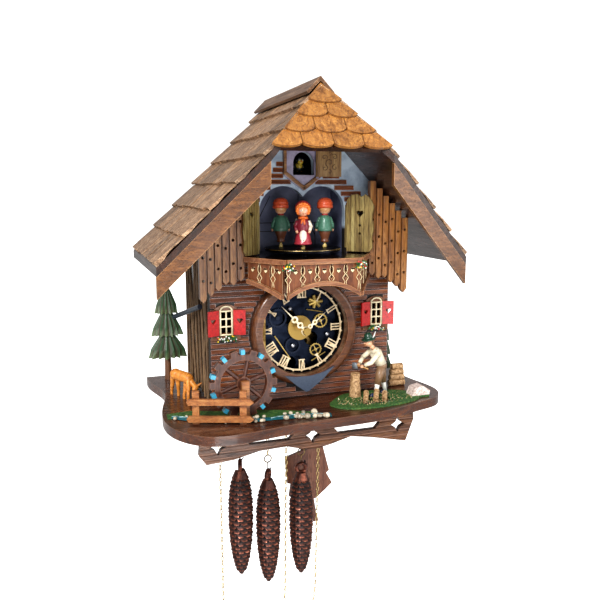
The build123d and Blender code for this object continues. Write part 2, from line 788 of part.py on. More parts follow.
def chapter_ring():
    """The open ring of Roman numerals, with its scallops and three feet."""
    front, back = CHAPTER_BACK - CHAPTER_T, CHAPTER_BACK
    band = rod((0, front, DIAL_Z), (0, back, DIAL_Z), CHAPTER_R + CHAPTER_BAND / 2)
    band -= rod((0, front - 1, DIAL_Z), (0, back + 1, DIAL_Z), CHAPTER_R - CHAPTER_BAND / 2)
    pieces = [band]
    rim = CHAPTER_R + CHAPTER_BAND / 2 - 0.3
    for step in range(SCALLOPS):
        angle = step * 360 / SCALLOPS
        points = [on_dial(angle - 2, rim), on_dial(angle, DIAL_INNER - 0.3), on_dial(angle + 2, rim)]
        pieces.append(plate_xz(points, front, back))
    pieces += [numeral(hour, front, back) for hour in NUMERALS]
    for angle in (0, 120, 240):
        x, z = on_dial(angle, CHAPTER_R - 6)
        foot = rod((x, back, z), (x, FRONT_PLATE, z), 1.2)
        pieces += [foot, bar(on_dial(angle, CHAPTER_R - 6), on_dial(angle, CHAPTER_R), 1.8, front, back)]
    return join(pieces)


def hand(angle, length, front, hub, hole):
    """A pierced hand: a tapering pointer on two open ornaments."""
    back = front + HAND_T
    shape = rod((0, front, DIAL_Z), (0, back, DIAL_Z), hub)
    low, mid = length * 0.24, length * 0.46
    for at, size in ((low, length * 0.085), (mid, length * 0.095)):
        x, z = on_dial(angle, at)
        shape += rod((x, front, z), (x, back, z), size)
    shape += bar(on_dial(angle, 0), on_dial(angle, mid), 2.6, front, back)
    tip = [on_dial(angle - 3.4, mid), on_dial(angle, length), on_dial(angle + 3.4, mid)]
    shape += plate_xz(tip, front, back)
    for at, size in ((low, length * 0.04), (mid, length * 0.045)):
        x, z = on_dial(angle, at)
        shape -= rod((x, front - 1, z), (x, back + 1, z), size)
    if hole:
        shape -= rod((0, front - 1, DIAL_Z), (0, back + 1, DIAL_Z), hole)
    return shape


def minute_hand():
    front = CASE_FRONT - 11.5
    shape = hand(MINUTE_ANGLE, MINUTE_LENGTH, front, 5.0, 0)
    shape += rod((0, front - 3.5, DIAL_Z), (0, front, DIAL_Z), 4.2)
    return shape + rod((0, front, DIAL_Z), (0, FRONT_PLATE + PLATE_T + 2, DIAL_Z), ARBOR_R)


def hour_hand():
    front = CASE_FRONT - 9.5
    shape = hand(HOUR_ANGLE, HOUR_LENGTH, front, 5.0, ARBOR_R + HAND_FIT)
    pipe = rod((0, front, DIAL_Z), (0, FRONT_PLATE - 0.6, DIAL_Z), PIPE_R)
    pipe += rod((0, FRONT_PLATE - 2.6, DIAL_Z), (0, FRONT_PLATE - 0.6, DIAL_Z), 14.0)
    return shape + (pipe - rod((0, front - 1, DIAL_Z), (0, FRONT_PLATE, DIAL_Z), ARBOR_R + HAND_FIT))


def side_window():
    """A carved surround, an arched frame with bars, and two fixed red shutters."""
    x, z = SIDE_WINDOW_X, SIDE_WINDOW_Z
    front = CASE_FRONT - 3
    low, high = z - GLASS_H / 2, z + GLASS_H / 2
    board = box(x - 16, x + 16, front, CASE_FRONT, low - 6, high - 4)
    board += rod((x, front, high - 12), (x, CASE_FRONT, high - 12), 18.0) & box(
        x - 16, x + 16, front, CASE_FRONT, high - 12, high + 8
    )
    half = GLASS_HALF - 1
    board -= box(x - half, x + half, front - 1, CASE_FRONT + 1, low + 1, high - 1)
    for across in (-half + 0.5, 0, half - 0.5):
        board += box(x + across - 0.5, x + across + 0.5, front, front + 1.5, low + 1, high - 1)
    for step in range(4):
        bar_z = low + 1.5 + step * (GLASS_H - 3) / 3
        board += box(x - half, x + half, front, front + 1.5, bar_z - 0.5, bar_z + 0.5)
    leaf = box(0, SHUTTER_W, -SHUTTER_T, 0, z - SHUTTER_H / 2, z + SHUTTER_H / 2)
    leaf -= heart(SHUTTER_W * 0.55, z + 3, 5.5, -SHUTTER_T - 1, 1)
    leaf = Rot(0, 0, -SHUTTER_ANGLE) * leaf
    frame = Pos(x, 0, 0) * (
        Pos(GLASS_HALF + 0.4, front, 0) * leaf + Pos(-GLASS_HALF - 0.4, front, 0) * mirrored(leaf)
    )
    return board + frame


def windows():
    window = side_window()
    return Compound([window, mirrored(window)])


# ---------------------------------------------------------------- garden

def water_wheel():
    """A rim on spokes, with paddles, turning on a fixed axle."""
    back, front = WHEEL_Y + WHEEL_W / 2, WHEEL_Y - WHEEL_W / 2
    place = (WHEEL_X, front, WHEEL_Z), (WHEEL_X, back, WHEEL_Z)
    wheel = rod(*place, WHEEL_R)
    wheel -= rod((WHEEL_X, front - 1, WHEEL_Z), (WHEEL_X, back + 1, WHEEL_Z), WHEEL_R - WHEEL_RIM)
    wheel += rod(*place, 7.0)
    for step in range(6):
        angle = radians(step * 60 + 12)
        reach = WHEEL_R - WHEEL_RIM / 2
        end = (WHEEL_X + reach * sin(angle), WHEEL_Y, WHEEL_Z + reach * cos(angle))
        wheel += rod((WHEEL_X, WHEEL_Y, WHEEL_Z), end, 2.2)
    for step in range(BLADES):
        blade = box(-3.6, 3.6, front, back, WHEEL_R - 3, BLADE_R)
        wheel += Pos(WHEEL_X, 0, WHEEL_Z) * Rot(0, step * 360 / BLADES - 17, 0) * blade
    return wheel - rod((WHEEL_X, front - 1, WHEEL_Z), (WHEEL_X, back + 1, WHEEL_Z), AXLE_R + AXLE_FIT)


def fence():
    """Two posts with pointed rails, and the wheel's own post and axle."""
    pieces = []
    left, right = (-131.5, -191.0), (-87.0, -207.0)
    angle = degrees(atan2(right[1] - left[1], right[0] - left[0]))
    span = hypot(right[0] - left[0], right[1] - left[1])
    for at in (0, span):
        pieces.append(box(at - 3.5, at + 3.5, 0, 4, BASE_TOP, BASE_TOP + 34))
    for low in (BASE_TOP + 2.5, BASE_TOP + 20):
        rail = [
            (-9, low + 3.5), (-7, low), (span + 7, low), (span + 11, low + 3),
            (span + 7, low + 6.5), (-7, low + 6.5),
        ]
        pieces.append(plate_xz(rail, -3, 0))
    return Pos(*left, 0) * Rot(0, 0, angle) * join(pieces)


def wheel_post():
    front = WHEEL_Y - WHEEL_W / 2 - 2
    post = box(
        WHEEL_X - POST_W / 2, WHEEL_X + POST_W / 2, front - 5, front, BASE_TOP, WHEEL_Z + POST_W / 2
    )
    return post + rod((WHEEL_X, front, WHEEL_Z), (WHEEL_X, CASE_FRONT, WHEEL_Z), AXLE_R)


def deer():
    """A grazing deer with its head down to the right."""
    base = BASE_TOP
    body = rod((-135, -92, base + 26), (-123, -102, base + 23), 6.0)
    body += ball(-135, -92, base + 26, 6.4) + ball(-123, -102, base + 22, 6.2)
    body += taper((-122, -103, base + 21), (-117, -110, base + 15), 4.2, 3.0)
    body += ball(-116.5, -111, base + 14, 3.6)
    body += taper((-117, -111, base + 14), (-120, -116, base + 7), 3.2, 1.8)
    body += taper((-114, -110, base + 15), (-109.5, -111, base + 18.5), 1.5, 0.5)
    legs = (
        (-137.5, -89, -138.5, -82), (-133, -94, -132, -90),
        (-124, -100, -128, -104), (-123, -105, -125, -112),
    )
    for x0, y0, x1, y1 in legs:
        body += taper((x0, y0, base + 23), (x1, y1, base + 4), 3.2, 1.7)
        body += rod((x1, y1, base), (x1, y1, base + 5), 1.7)
    return body


def fir(x, y, base, height, half, tiers, thick):
    """A carved fir: a trunk and tiers of drooping boughs, flattened front to back."""
    trunk_top = base + height * 0.35
    tree = taper((x, y, base), (x, y, base + height * 0.95), height * 0.045, 0.8)
    span = (base + height - trunk_top) / tiers
    for tier in range(tiers):
        low = trunk_top + tier * span - span * 0.15
        high = base + height if tier == tiers - 1 else low + span * 1.5
        wide = half * (1 - tier * 0.26)
        cone = Cone(wide, wide * 0.12, high - low, align=(Align.CENTER, Align.CENTER, Align.MIN))
        tree += Pos(x, y, low) * scale(cone, by=(1, thick / wide, 1))
    return tree


def trees():
    """The tall fir with its wooden stay to the house, and the little one."""
    tall = fir(-132.5, -18.0, BASE_TOP, 121.0, 26.5, 3, 11.0)
    stay = rod((-124, -24, -161), (-CASE_HALF - 3, -112, -135), 3.0)
    tall += stay & box(-200, -CASE_HALF, -200, 0, -200, -100)
    little = fir(CASE_HALF + 9, -118.0, BASE_TOP, 76.0, 9.0, 2, 7.0)
    return Compound([tall, little])


def wood_chopper():
    """A man in leather shorts leaning over his work; his arms are a separate piece."""
    x, y, base = 84.0, -166.0, BASE_TOP
    man = rod((x - 7.5, y - 5, base + 3), (x - 12.5, y - 5, base + 3), 2.8)
    man += ball(x - 7.5, y - 5, base + 3, 3.0)
    man += rod((x + 9.5, y + 4, base + 3), (x + 4.5, y + 4, base + 3), 2.8)
    man += ball(x + 9.5, y + 4, base + 3, 3.0)
    man += taper((x - 7.5, y - 5, base + 3), (x - 9.5, y - 4, base + 19), 2.6, 3.6)
    man += taper((x - 9.5, y - 4, base + 17), (x + 3, y - 2, base + 33), 4.2, 6.2)
    man += taper((x + 9.5, y + 4, base + 3), (x + 8, y + 3, base + 17), 2.6, 3.6)
    man += taper((x + 8, y + 3, base + 16), (x + 5, y + 1, base + 33), 4.2, 6.2)
    man += ball(x + 4, y - 0.5, base + 33, 7.6)
    man += taper((x + 4, y, base + 33), (x - 6, y, base + 52), 7.4, 7.0)
    man += ball(x - 6.5, y, base + 52, 7.6)
    man += rod((x - 8, y, base + 55), (x - 14, y, base + 62), 3.0)
    man += ball(x - 15.5, y, base + 63.5, 5.4)
    hat = Pos(x - 15, y, base + 67.5) * Rot(0, -12, 0)
    man += hat * Cylinder(9.0, 1.2) + hat * Pos(0, 0, 3.4) * Cone(6.4, 4.6, 7.0)
    man += taper((x - 9.5, y + 2, base + 70), (x - 7.5, y + 2, base + 79), 1.2, 0.5)
    return man - rod((x - 8, y - 12, base + 52), (x - 8, y + 12, base + 52), SHOULDER_PIN + PIN_FIT)


def chopper_arms():
    """Both arms and the axe, which lift together about the shoulders."""
    x, y, base = 84.0, -166.0, BASE_TOP
    arms = rod((x - 8, y - 12.2, base + 52), (x - 8, y - 8.2, base + 52), 3.4)
    arms += rod((x - 8, y + 8.2, base + 52), (x - 8, y + 12.2, base + 52), 3.4)
    arms += rod((x - 8, y - 9, base + 52), (x - 8, y + 9, base + 52), SHOULDER_PIN)
    arms += rod((x - 8, y - 10.4, base + 52), (x - 14.6, y - 11.2, base + 36.6), 2.6)
    arms += rod((x - 12.5, y - 12.1, base + 38.5), (x - 26.4, y - 4.6, base + 36.9), 2.2)
    arms += rod((x - 8, y + 10.4, base + 52), (x - 19, y + 10.6, base + 41.0), 2.6)
    arms += rod((x - 17, y + 12, base + 43.0), (x - 28.0, y - 0.3, base + 37.3), 2.2)
    arms += rod((x - 16, y - 9.5, base + 34), (x - 31.5, y + 3.5, base + 39.5), 1.1)
    head = plate_xz([(-2.6, 6.0), (2.6, 6.0), (2.2, 0), (3.4, -7), (-3.4, -7), (-2.2, 0)], -1.6, 1.6)
    arms += Pos(x - 30.5, y + 2.6, base + 38.5) * Rot(0, 0, 15) * head
    return arms


def logs():
    """The chopping block, the split log on it, the loose logs and the stack."""
    base = BASE_TOP
    block = taper((54.0, -164.0, base), (54.0, -164.0, base + 20), 7.0, 5.6)
    block += rod((54.0, -164.0, base + 20), (54.0, -164.0, base + 28.5), 5.2)
    pieces = [block]
    ends = (((56, -188, 3), (62, -176, 9)), ((66, -192, 3.2), (74, -178, 10)), ((78, -190, 3), (84, -178, 7)))
    for start, end in ends:
        lying = rod((start[0], start[1], base + start[2]), (end[0], end[1], base + end[2]), 3.0)
        pieces.append(lying & box(40, 110, -230, -150, base, base + 40))
    stack = []
    for row in range(4):
        z = base + 3.8 + row * 6.6
        stack.append(rod((CASE_HALF + 5 + row, -137, z), (CASE_HALF + 25 - row, -137, z), 3.8))
    stack = join(stack) & box(90, 150, -160, -100, base, base + 40)
    pieces.append(stack)
    return Compound(pieces)


def meadow():
    """A low mat of grass with a rock on it."""
    base = BASE_TOP
    edge = [(18, -178), (30, -165), (44, -154), (70, -150), (100, -155), (121, -170), (124, -186),
            (104, -200), (70, -206), (40, -204), (22, -194)]
    outline = Spline(*[(x, y, base) for x, y in edge], periodic=True)
    mat = extrude(make_face(outline), amount=2.0, dir=(0, 0, 1))
    rock = plate_xz([(112, base), (135, base), (136, base + 7), (127, base + 13), (117, base + 11)], -188, -174)
    mat -= logs_foot(base)
    mat -= plate_xz([(111.7, base - 1), (136.3, base - 1), (136.3, base + 14), (111.7, base + 14)], -188.3, -173.7)
    for x, y in ((76.5, -171), (71.5, -171), (93.5, -162), (88.5, -162)):
        mat -= rod((x, y, base - 1), (x, y, base + 3), 3.6)
    return Compound([mat, rock])


def logs_foot(base):
    """Room in the grass for the block and for the loose logs' lower ends."""
    room = rod((54.0, -164.0, base - 1), (54.0, -164.0, base + 3), 7.3)
    for x0, x1, y0, y1 in ((51, 88, -196, -177),):
        room += box(x0, x1, y0, y1, base - 1, base + 3)
    return room


def stream():
    """A thin sheet of water from the left edge, under the wheel, to the front."""
    base = BASE_TOP
    points = [(-155, -152), (-130, -150), (-104, -160), (-70, -168), (-40, -178), (-8, -196), (0, -210),
              (-14, -213), (-44, -204), (-72, -194), (-104, -178), (-130, -170), (-156, -168)]
    return plate_xy(points, base, base + 0.6)


# ---------------------------------------------------------------- movement

def movement_plates():
    """Two brass plates on four pillars, open in the middle, and the pendulum's pin."""
    shape = []
    for front in (FRONT_PLATE, BACK_PLATE):
        plate = box(-PLATE_HALF, PLATE_HALF, front, front + PLATE_T, PLATE_LOW, PLATE_TOP)
        for x, z, r in ((-12, -150, 8), (14, -176, 8), (-12, -203, 8)):
            plate -= rod((x, front - 1, z), (x, front + PLATE_T + 1, z), r)
        plate -= rod((0, front - 1, DIAL_Z), (0, front + PLATE_T + 1, DIAL_Z), PIPE_R + 1)
        shape.append(plate)
    for x in (-PLATE_HALF + 2.2, PLATE_HALF - 2.2):
        for z in (PLATE_LOW + 4, PLATE_TOP - 4):
            shape.append(rod((x, FRONT_PLATE, z), (x, BACK_PLATE + PLATE_T, z), 2.0))
    shape.append(rod((0, BACK_PLATE, PIVOT_Z), (0, PIVOT_Y + 3, PIVOT_Z), HANGER_PIN_R))
    shape.append(rod((0, PIVOT_Y + 2.2, PIVOT_Z), (0, PIVOT_Y + 3.2, PIVOT_Z), 3.4))
    for x in (-PLATE_HALF, PLATE_HALF - 3.5):
        shape.append(box(x, x + 3.5, FRONT_PLATE, BACK_PLATE + PLATE_T, BASE_TOP, PLATE_LOW))
    return join(shape)


def gear(x, z, radius, y, thick):
    """A wheel on its arbor, between the plates."""
    wheel = rod((x, y, z), (x, y + thick, z), radius)
    for step in range(4):
        angle = radians(step * 90 + 45)
        hx, hz = x + radius * 0.55 * cos(angle), z + radius * 0.55 * sin(angle)
        wheel -= rod((hx, y - 1, hz), (hx, y + thick + 1, hz), radius * 0.26)
    return wheel + rod((x, FRONT_PLATE + PLATE_T, z), (x, BACK_PLATE, z), 1.2)


def going_train():
    """The wheels between the plates, with their arbors clear of the chains' rise."""
    return Compound([
        gear(3.6, -186, 14, -120, 1.5), gear(3.6, -137.5, 12, -116, 1.5),
        gear(-37, -160, 10, -120, 1.5), gear(-25, -132, 11, -110, 1.5), gear(26, -134, 10, -121, 1.5),
    ])


def music_box():
    """The musical movement at the left: a bedplate, two plates and a pinned drum on the front one."""
    x = PULLEY_X[0]
    bed = box(x - 20, x + 20, -128, -72, BASE_TOP, BASE_TOP + 6)
    front = box(x - 18, x + 18, -128, -126, BASE_TOP + 6, -160)
    back = box(x - 18, x + 18, -74, -72, BASE_TOP + 6, -160)
    drum = rod((x, -126, -168), (x, CHAIN_Y - CHAIN_D - 1, -168), 6.5)
    reach = PULLEY_R + CHAIN_D
    bed -= box(x - reach, x + reach, CHAIN_Y - 5, CHAIN_Y + 5, BASE_TOP - 1, BASE_TOP + 7)
    return bed + front + back + drum


def gong():
    """A coiled steel gong on a block on the back panel."""
    y = CASE_BACK - 10
    coil = Pos(-50, y, -150) * Rot(90, 0, 0) * Torus(26, 1.2)
    coil += Pos(-50, y, -150) * Rot(90, 0, 0) * Torus(21, 1.2)
    coil += box(-53, -47, y - 3, CASE_BACK, -178, -168)
    return coil


def chain_wheel(number):
    """A grooved wheel on its arbor; the chain lies in the groove."""
    x = PULLEY_X[number]
    groove = PULLEY_R - CHAIN_D / 2 - CHAIN_FIT
    half = CHAIN_D / 2 + CHAIN_FIT
    wheel = rod((x, CHAIN_Y - half - 1, PULLEY_Z), (x, CHAIN_Y + half + 1, PULLEY_Z), groove)
    for side in (-1, 1):
        near, far = CHAIN_Y + side * half, CHAIN_Y + side * (half + 1)
        wheel += rod((x, min(near, far), PULLEY_Z), (x, max(near, far), PULLEY_Z), PULLEY_R + 1)
    start = FRONT_PLATE + PLATE_T if number else -126.0
    end = BACK_PLATE if number else -74.0
    return wheel + rod((x, start + 0.1, PULLEY_Z), (x, end - 0.1, PULLEY_Z), 1.6)


# ---------------------------------------------------------------- pendulum

def pendulum_point(across, down):
    """A point of the hanging pendulum, swung out to the right."""
    angle = radians(SWING)
    return across * cos(angle) + down * sin(angle), PIVOT_Z + across * sin(angle) - down * cos(angle)


def pendulum_stick():
    front, back = PIVOT_Y - STICK_T / 2, PIVOT_Y + STICK_T / 2
    half = STICK_W / 2
    points = [pendulum_point(x, s) for x, s in ((-half, 0), (half, 0), (half, STICK_L), (-half, STICK_L))]
    stick = plate_xz(points, front, back)
    stick += rod((0, front, PIVOT_Z), (0, back, PIVOT_Z), 4.5)
    return stick - rod((0, front - 1, PIVOT_Z), (0, back + 1, PIVOT_Z), HANGER_PIN_R + HANGER_PIN_FIT)


def pendulum_bob():
    """A carved board of two tiers, fixed to the front of the stick."""
    back = PIVOT_Y - STICK_T / 2
    right = [(26, 184), (29, 219), (24.5, 221), (30, 237), (20, 243), (5, 251)]
    left = [(-x, s) for x, s in reversed(right)]
    points = [pendulum_point(x, s) for x, s in [(0, 181)] + right + left]
    return plate_xz(points, back - BOB_T, back)


# ---------------------------------------------------------------- weights and chains

def load_x(number):
    """Which side of its wheel each weight hangs on."""
    return PULLEY_X[number] + LOAD_SIDE[number] * PULLEY_R


def cone_weight(number):
    """A cast fir cone with a pierced cap, and the wire hook in it."""
    x, top = load_x(number), CONE_TOP[number]
    profile = [
        (0, top - CONE_L), (4, top - CONE_L + 4), (8.5, top - 128), (13, top - 105), (15.5, top - 80),
        (CONE_R, top - 55), (14.5, top - 32), (10.5, top - 22), (0, top - 20),
    ]
    outline = Polyline(*[(r, 0, z) for r, z in profile], close=True)
    body = Pos(x, CHAIN_Y, 0) * revolve(make_face(outline), Axis.Z)
    eye = Rot(0, 0, CAP_TURN[number]) * Rot(90, 0, 0) * Torus(CAP_R, CAP_WIRE)
    body += Pos(x, CHAIN_Y, top - CAP_R - CAP_WIRE) * eye
    body += rod((x, CHAIN_Y, top - 26), (x, CHAIN_Y, top - 2 * CAP_R - CAP_WIRE), 5.0)
    ring_z = top + RING_UP
    wire = Pos(x, CHAIN_Y, ring_z) * Rot(90, 0, 0) * Torus(RING_R, RING_WIRE)
    wire += rod((x, CHAIN_Y, top - 1), (x, CHAIN_Y, ring_z - RING_R), RING_WIRE + 0.15)
    return body + wire


def chain_load(number):
    """The chain from its wheel straight down to the weight's ring."""
    x = load_x(number)
    end = CONE_TOP[number] + RING_UP + RING_R + RING_WIRE
    return rod((x, CHAIN_Y, end), (x, CHAIN_Y, PULLEY_Z), CHAIN_D / 2)


def free_tangent(number):
    """Where the pull side leaves its wheel, on its straight way to the hank."""
    middle = PULLEY_X[number]
    across, down = FREE_END[number] - middle, HANK_TOP - PULLEY_Z
    reach = hypot(across, down)
    angle = atan2(down, across) - LOAD_SIDE[number] * acos(PULLEY_R / reach)
    return middle + PULLEY_R * cos(angle), PULLEY_Z + PULLEY_R * sin(angle)


def chain_free(number):
    """The pull side: over the wheel and straight down through the base to its hank."""
    middle = PULLEY_X[number]
    x, z = free_tangent(number)
    over = ThreePointArc(
        (load_x(number), CHAIN_Y, PULLEY_Z + 0.05),
        (middle, CHAIN_Y, PULLEY_Z + PULLEY_R),
        (x, CHAIN_Y, z),
    )
    down = Line((x, CHAIN_Y, z), (FREE_END[number], CHAIN_Y, HANK_TOP))
    path = over + down
    start = Plane(origin=over @ 0, z_dir=over % 0)
    tube = sweep(start * Circle(CHAIN_D / 2), path=path)
    print("chain", number, "length", round(path.length, 1), "radius", PULLEY_R,
          "volume share", round(tube.volume / (pi * (CHAIN_D / 2) ** 2 * path.length), 4))
    return tube


def chain_hank(number):
    """The outer shape of the surplus chain, folded up and tied."""
    x, half = FREE_END[number], HANK_W / 2
    block = box(x - half, x + half, CHAIN_Y - half, CHAIN_Y + half, HANK_TOP - HANK_H, HANK_TOP)
    return fillet(block.edges().filter_by(Axis.Z), 6.0)


def main():
    os.makedirs("parts", exist_ok=True)
    right_roof, right_shingles, right_panel = roof_right(), shingles_right(), slat_panel()
    nodes = {
        "front_panel": front_panel(),
        "side_walls": side_walls(),
        "back_panel": back_panel(),
        "base_platform": base_platform(),
        "apron": apron(),
        "roof_left": mirrored(right_roof),
        "roof_right": right_roof,
        "shingles_left": mirrored(right_shingles),
        "shingles_right": right_shingles,
        "ridge_cap": ridge_cap(),
        "hip_roof": hip_roof(),
        "bargeboards": bargeboards(),
        "slat_panel_left": mirrored(right_panel),
        "slat_panel_right": right_panel,
        "balcony_floor": balcony_floor(),
        "balcony_boards": balcony_boards(),
        "balcony_trim": balcony_trim(),
        "niche_box": niche_box(),
        "dancer_shutters": dancer_shutters(),
        "cuckoo_surround": cuckoo_surround(),
        "cuckoo_door": cuckoo_door(),
        "cuckoo": cuckoo(),
        "carousel_disc": carousel_disc(),
        "dancer_girl_front": on_carousel(girl(), 0),
        "dancer_boy_right": on_carousel(boy(), 1),
        "dancer_girl_back": on_carousel(girl(), 2),
        "dancer_boy_left": on_carousel(boy(), 3),
        "dial_ring": dial_ring(),
        "chapter_ring": chapter_ring(),
        "minute_hand": minute_hand(),
        "hour_hand": hour_hand(),
        "windows": windows(),
        "water_wheel": water_wheel(),
        "fence": Compound([fence(), wheel_post()]),
        "deer": deer(),
        "trees": trees(),
        "wood_chopper": wood_chopper(),
        "chopper_arms": chopper_arms(),
        "logs": logs(),
        "ground_cover": Compound([meadow(), stream()]),
        "movement_plates": movement_plates(),
        "going_train": going_train(),
        "music_box": music_box(),
        "gong": gong(),
        "pendulum": Compound([pendulum_stick(), pendulum_bob()]),
    }
    for number, letter in enumerate("abc"):
        nodes["chain_wheel_" + letter] = chain_wheel(number)
        nodes["cone_" + letter] = cone_weight(number)
        nodes["chain_load_" + letter] = chain_load(number)
        nodes["chain_free_" + letter] = chain_free(number)
        nodes["chain_hank_" + letter] = chain_hank(number)
    for name, shape in nodes.items():
        export_step(shape, "parts/" + name + ".step")


main()
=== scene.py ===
# Cuckoo clock: the looks of a chalet clock with dancers, a wood chopper and three fir cone weights.
# Metres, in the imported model's own frame: +X right, +Y into the wall, +Z up, origin at the hanger hole.
import math
import random

import bmesh
import bpy
from mathutils import Matrix, Vector


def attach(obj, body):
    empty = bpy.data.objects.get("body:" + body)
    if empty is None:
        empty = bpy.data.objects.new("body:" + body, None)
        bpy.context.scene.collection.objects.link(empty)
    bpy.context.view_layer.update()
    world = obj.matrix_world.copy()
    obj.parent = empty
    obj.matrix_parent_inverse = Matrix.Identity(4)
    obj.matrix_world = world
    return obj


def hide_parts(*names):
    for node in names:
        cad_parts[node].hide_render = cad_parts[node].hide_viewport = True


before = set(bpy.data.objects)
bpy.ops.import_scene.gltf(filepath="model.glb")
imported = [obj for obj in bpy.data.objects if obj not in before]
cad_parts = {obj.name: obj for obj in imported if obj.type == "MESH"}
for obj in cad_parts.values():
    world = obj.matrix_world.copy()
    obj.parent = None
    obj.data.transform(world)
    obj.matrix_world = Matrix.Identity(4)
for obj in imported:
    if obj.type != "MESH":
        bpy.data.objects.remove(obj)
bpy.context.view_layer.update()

random.seed(7)

# ---------------------------------------------------------------- camera, light and floor
# The clock hangs in plain daylight-white studio light, seen from the left and a little above.
camera = bpy.data.objects.new("camera", bpy.data.cameras.new("camera"))
bpy.context.collection.objects.link(camera)
camera.data.lens = 40.156
camera.data.sensor_width = 36.0
camera.location = (-0.24814, -0.82814, -0.01014)
camera.rotation_euler = (math.radians(80.740), 0, math.radians(-19.591))
bpy.context.scene.camera = camera
bpy.context.scene.view_settings.view_transform = "Standard"
bpy.context.scene.view_settings.look = "Medium High Contrast"

world = bpy.data.worlds.new("studio")
bpy.context.scene.world = world
world.use_nodes = True
sky = world.node_tree.nodes["Background"]
sky.inputs["Color"].default_value = (1.0, 1.0, 1.0, 1)
# The backdrop is brighter to the camera than it is as light, so that it reads white.
seen = world.node_tree.nodes.new("ShaderNodeLightPath")
glow = world.node_tree.nodes.new("ShaderNodeMapRange")
glow.inputs["To Min"].default_value = 0.50
glow.inputs["To Max"].default_value = 1.05
world.node_tree.links.new(seen.outputs["Is Camera Ray"], glow.inputs["Value"])
world.node_tree.links.new(glow.outputs[0], sky.inputs["Strength"])


def softbox(name, place, aim, size, power):
    light = bpy.data.lights.new(name, "AREA")
    light.shape = "SQUARE"
    light.size = size
    light.energy = power
    lamp = bpy.data.objects.new(name, light)
    lamp.location = place
    lamp.rotation_euler = (Vector(aim) - Vector(place)).to_track_quat("-Z", "Y").to_euler()
    bpy.context.collection.objects.link(lamp)


softbox("key_light", (-0.9, -1.3, 0.75), (0, -0.1, -0.1), 0.55, 30)
softbox("fill_light", (1.1, -1.0, 0.2), (0, -0.1, -0.1), 0.9, 7)
softbox("low_light", (-0.1, -1.3, -0.5), (0, -0.1, -0.2), 0.8, 6)

FLOOR_Z = -0.95
FLOOR_HALF = 12.0
floor_mesh = bpy.data.meshes.new("floor")
bm = bmesh.new()
bmesh.ops.create_grid(bm, x_segments=1, y_segments=1, size=FLOOR_HALF)
bmesh.ops.translate(bm, verts=bm.verts, vec=(0, 0, FLOOR_Z))
bm.to_mesh(floor_mesh)
bm.free()
floor = bpy.data.objects.new("floor", floor_mesh)
bpy.context.collection.objects.link(floor)
floor_paint = bpy.data.materials.new("floor_paint")
floor_paint.use_nodes = True
floor_shader = floor_paint.node_tree.nodes["Principled BSDF"]
floor_shader.inputs["Base Color"].default_value = (0.93, 0.93, 0.93, 1)
floor_shader.inputs["Roughness"].default_value = 0.8
floor.data.materials.append(floor_paint)
floor_eye = floor_paint.node_tree.nodes.new("ShaderNodeLightPath")
floor_shader.inputs["Emission Color"].default_value = (1, 1, 1, 1)
floor_paint.node_tree.links.new(floor_eye.outputs["Is Camera Ray"],
                                floor_shader.inputs["Emission Strength"])

# ---------------------------------------------------------------- chains
# Three brass chains of welded oval links. Each runs from its weight's hook over a wheel in the
# movement and down the pull side, where the surplus is folded into a hank held by a twist of wire.
CHAIN_Y = -0.100
PULLEY_R = 0.0122
PULLEY_Z = -0.190
PULLEY_X = {"a": -0.0762, "b": -0.0177, "c": 0.0247}
LOAD_SIDE = {"a": 1, "b": -1, "c": -1}
CONE_TOP = {"a": -0.321, "b": -0.338, "c": -0.335}
HANK_X = {"a": -0.087, "b": -0.009, "c": 0.031}
HANK_TOP = -0.533
HANK_H = 0.074
CHAIN_D = 0.004
LINK_PITCH = 0.0050
LINK_WIRE = 0.00052
RUN_GAP = 0.00415
HANK_RUNS = 17
HANK_END = 0.0022
TIE_R = 0.0104
TIE_WIRE = 0.00045
TIE_GAP = 0.0012
RING_ABOVE_CAP = 0.0120 + 0.0045


def node_group(name, inputs, outputs):
    """A shader group with float or colour or vector sockets."""
    group = bpy.data.node_groups.new(name, "ShaderNodeTree")
    for label, kind in inputs:
        group.interface.new_socket(label, in_out="INPUT", socket_type=kind)
    for label, kind in outputs:
        group.interface.new_socket(label, in_out="OUTPUT", socket_type=kind)
    return group, group.nodes.new("NodeGroupInput"), group.nodes.new("NodeGroupOutput")


def noise(tree, vector, scale, detail=3.0, rough=0.55, distort=0.0):
    node = tree.nodes.new("ShaderNodeTexNoise")
    node.inputs["Scale"].default_value = scale
    node.inputs["Detail"].default_value = detail
    node.inputs["Roughness"].default_value = rough
    node.inputs["Distortion"].default_value = distort
    tree.links.new(vector, node.inputs["Vector"])
    return node.outputs["Fac"]


def calc(tree, operation, a, b=0.0):
    node = tree.nodes.new("ShaderNodeMath")
    node.operation = operation
    for socket, value in zip(node.inputs, (a, b)):
        if isinstance(value, (int, float)):
            socket.default_value = value
        else:
            tree.links.new(value, socket)
    return node.outputs[0]


def attribute(tree, name):
    node = tree.nodes.new("ShaderNodeAttribute")
    node.attribute_name = name
    return node.outputs


def axes(tree, place):
    """The X, Y and Z of a place."""
    node = tree.nodes.new("ShaderNodeSeparateXYZ")
    tree.links.new(place, node.inputs[0])
    return node.outputs


def even_colour(tree, level):
    """A colour with the same level in red, green and blue."""
    node = tree.nodes.new("ShaderNodeCombineColor")
    for socket in node.inputs[:3]:
        tree.links.new(level, socket)
    return node.outputs[0]


def spread(tree, value, low, high, out_low=0.0, out_high=1.0):
    node = tree.nodes.new("ShaderNodeMapRange")
    for socket, number in zip(list(node.inputs)[1:5], (low, high, out_low, out_high)):
        socket.default_value = number
    tree.links.new(value, node.inputs[0])
    return node.outputs[0]


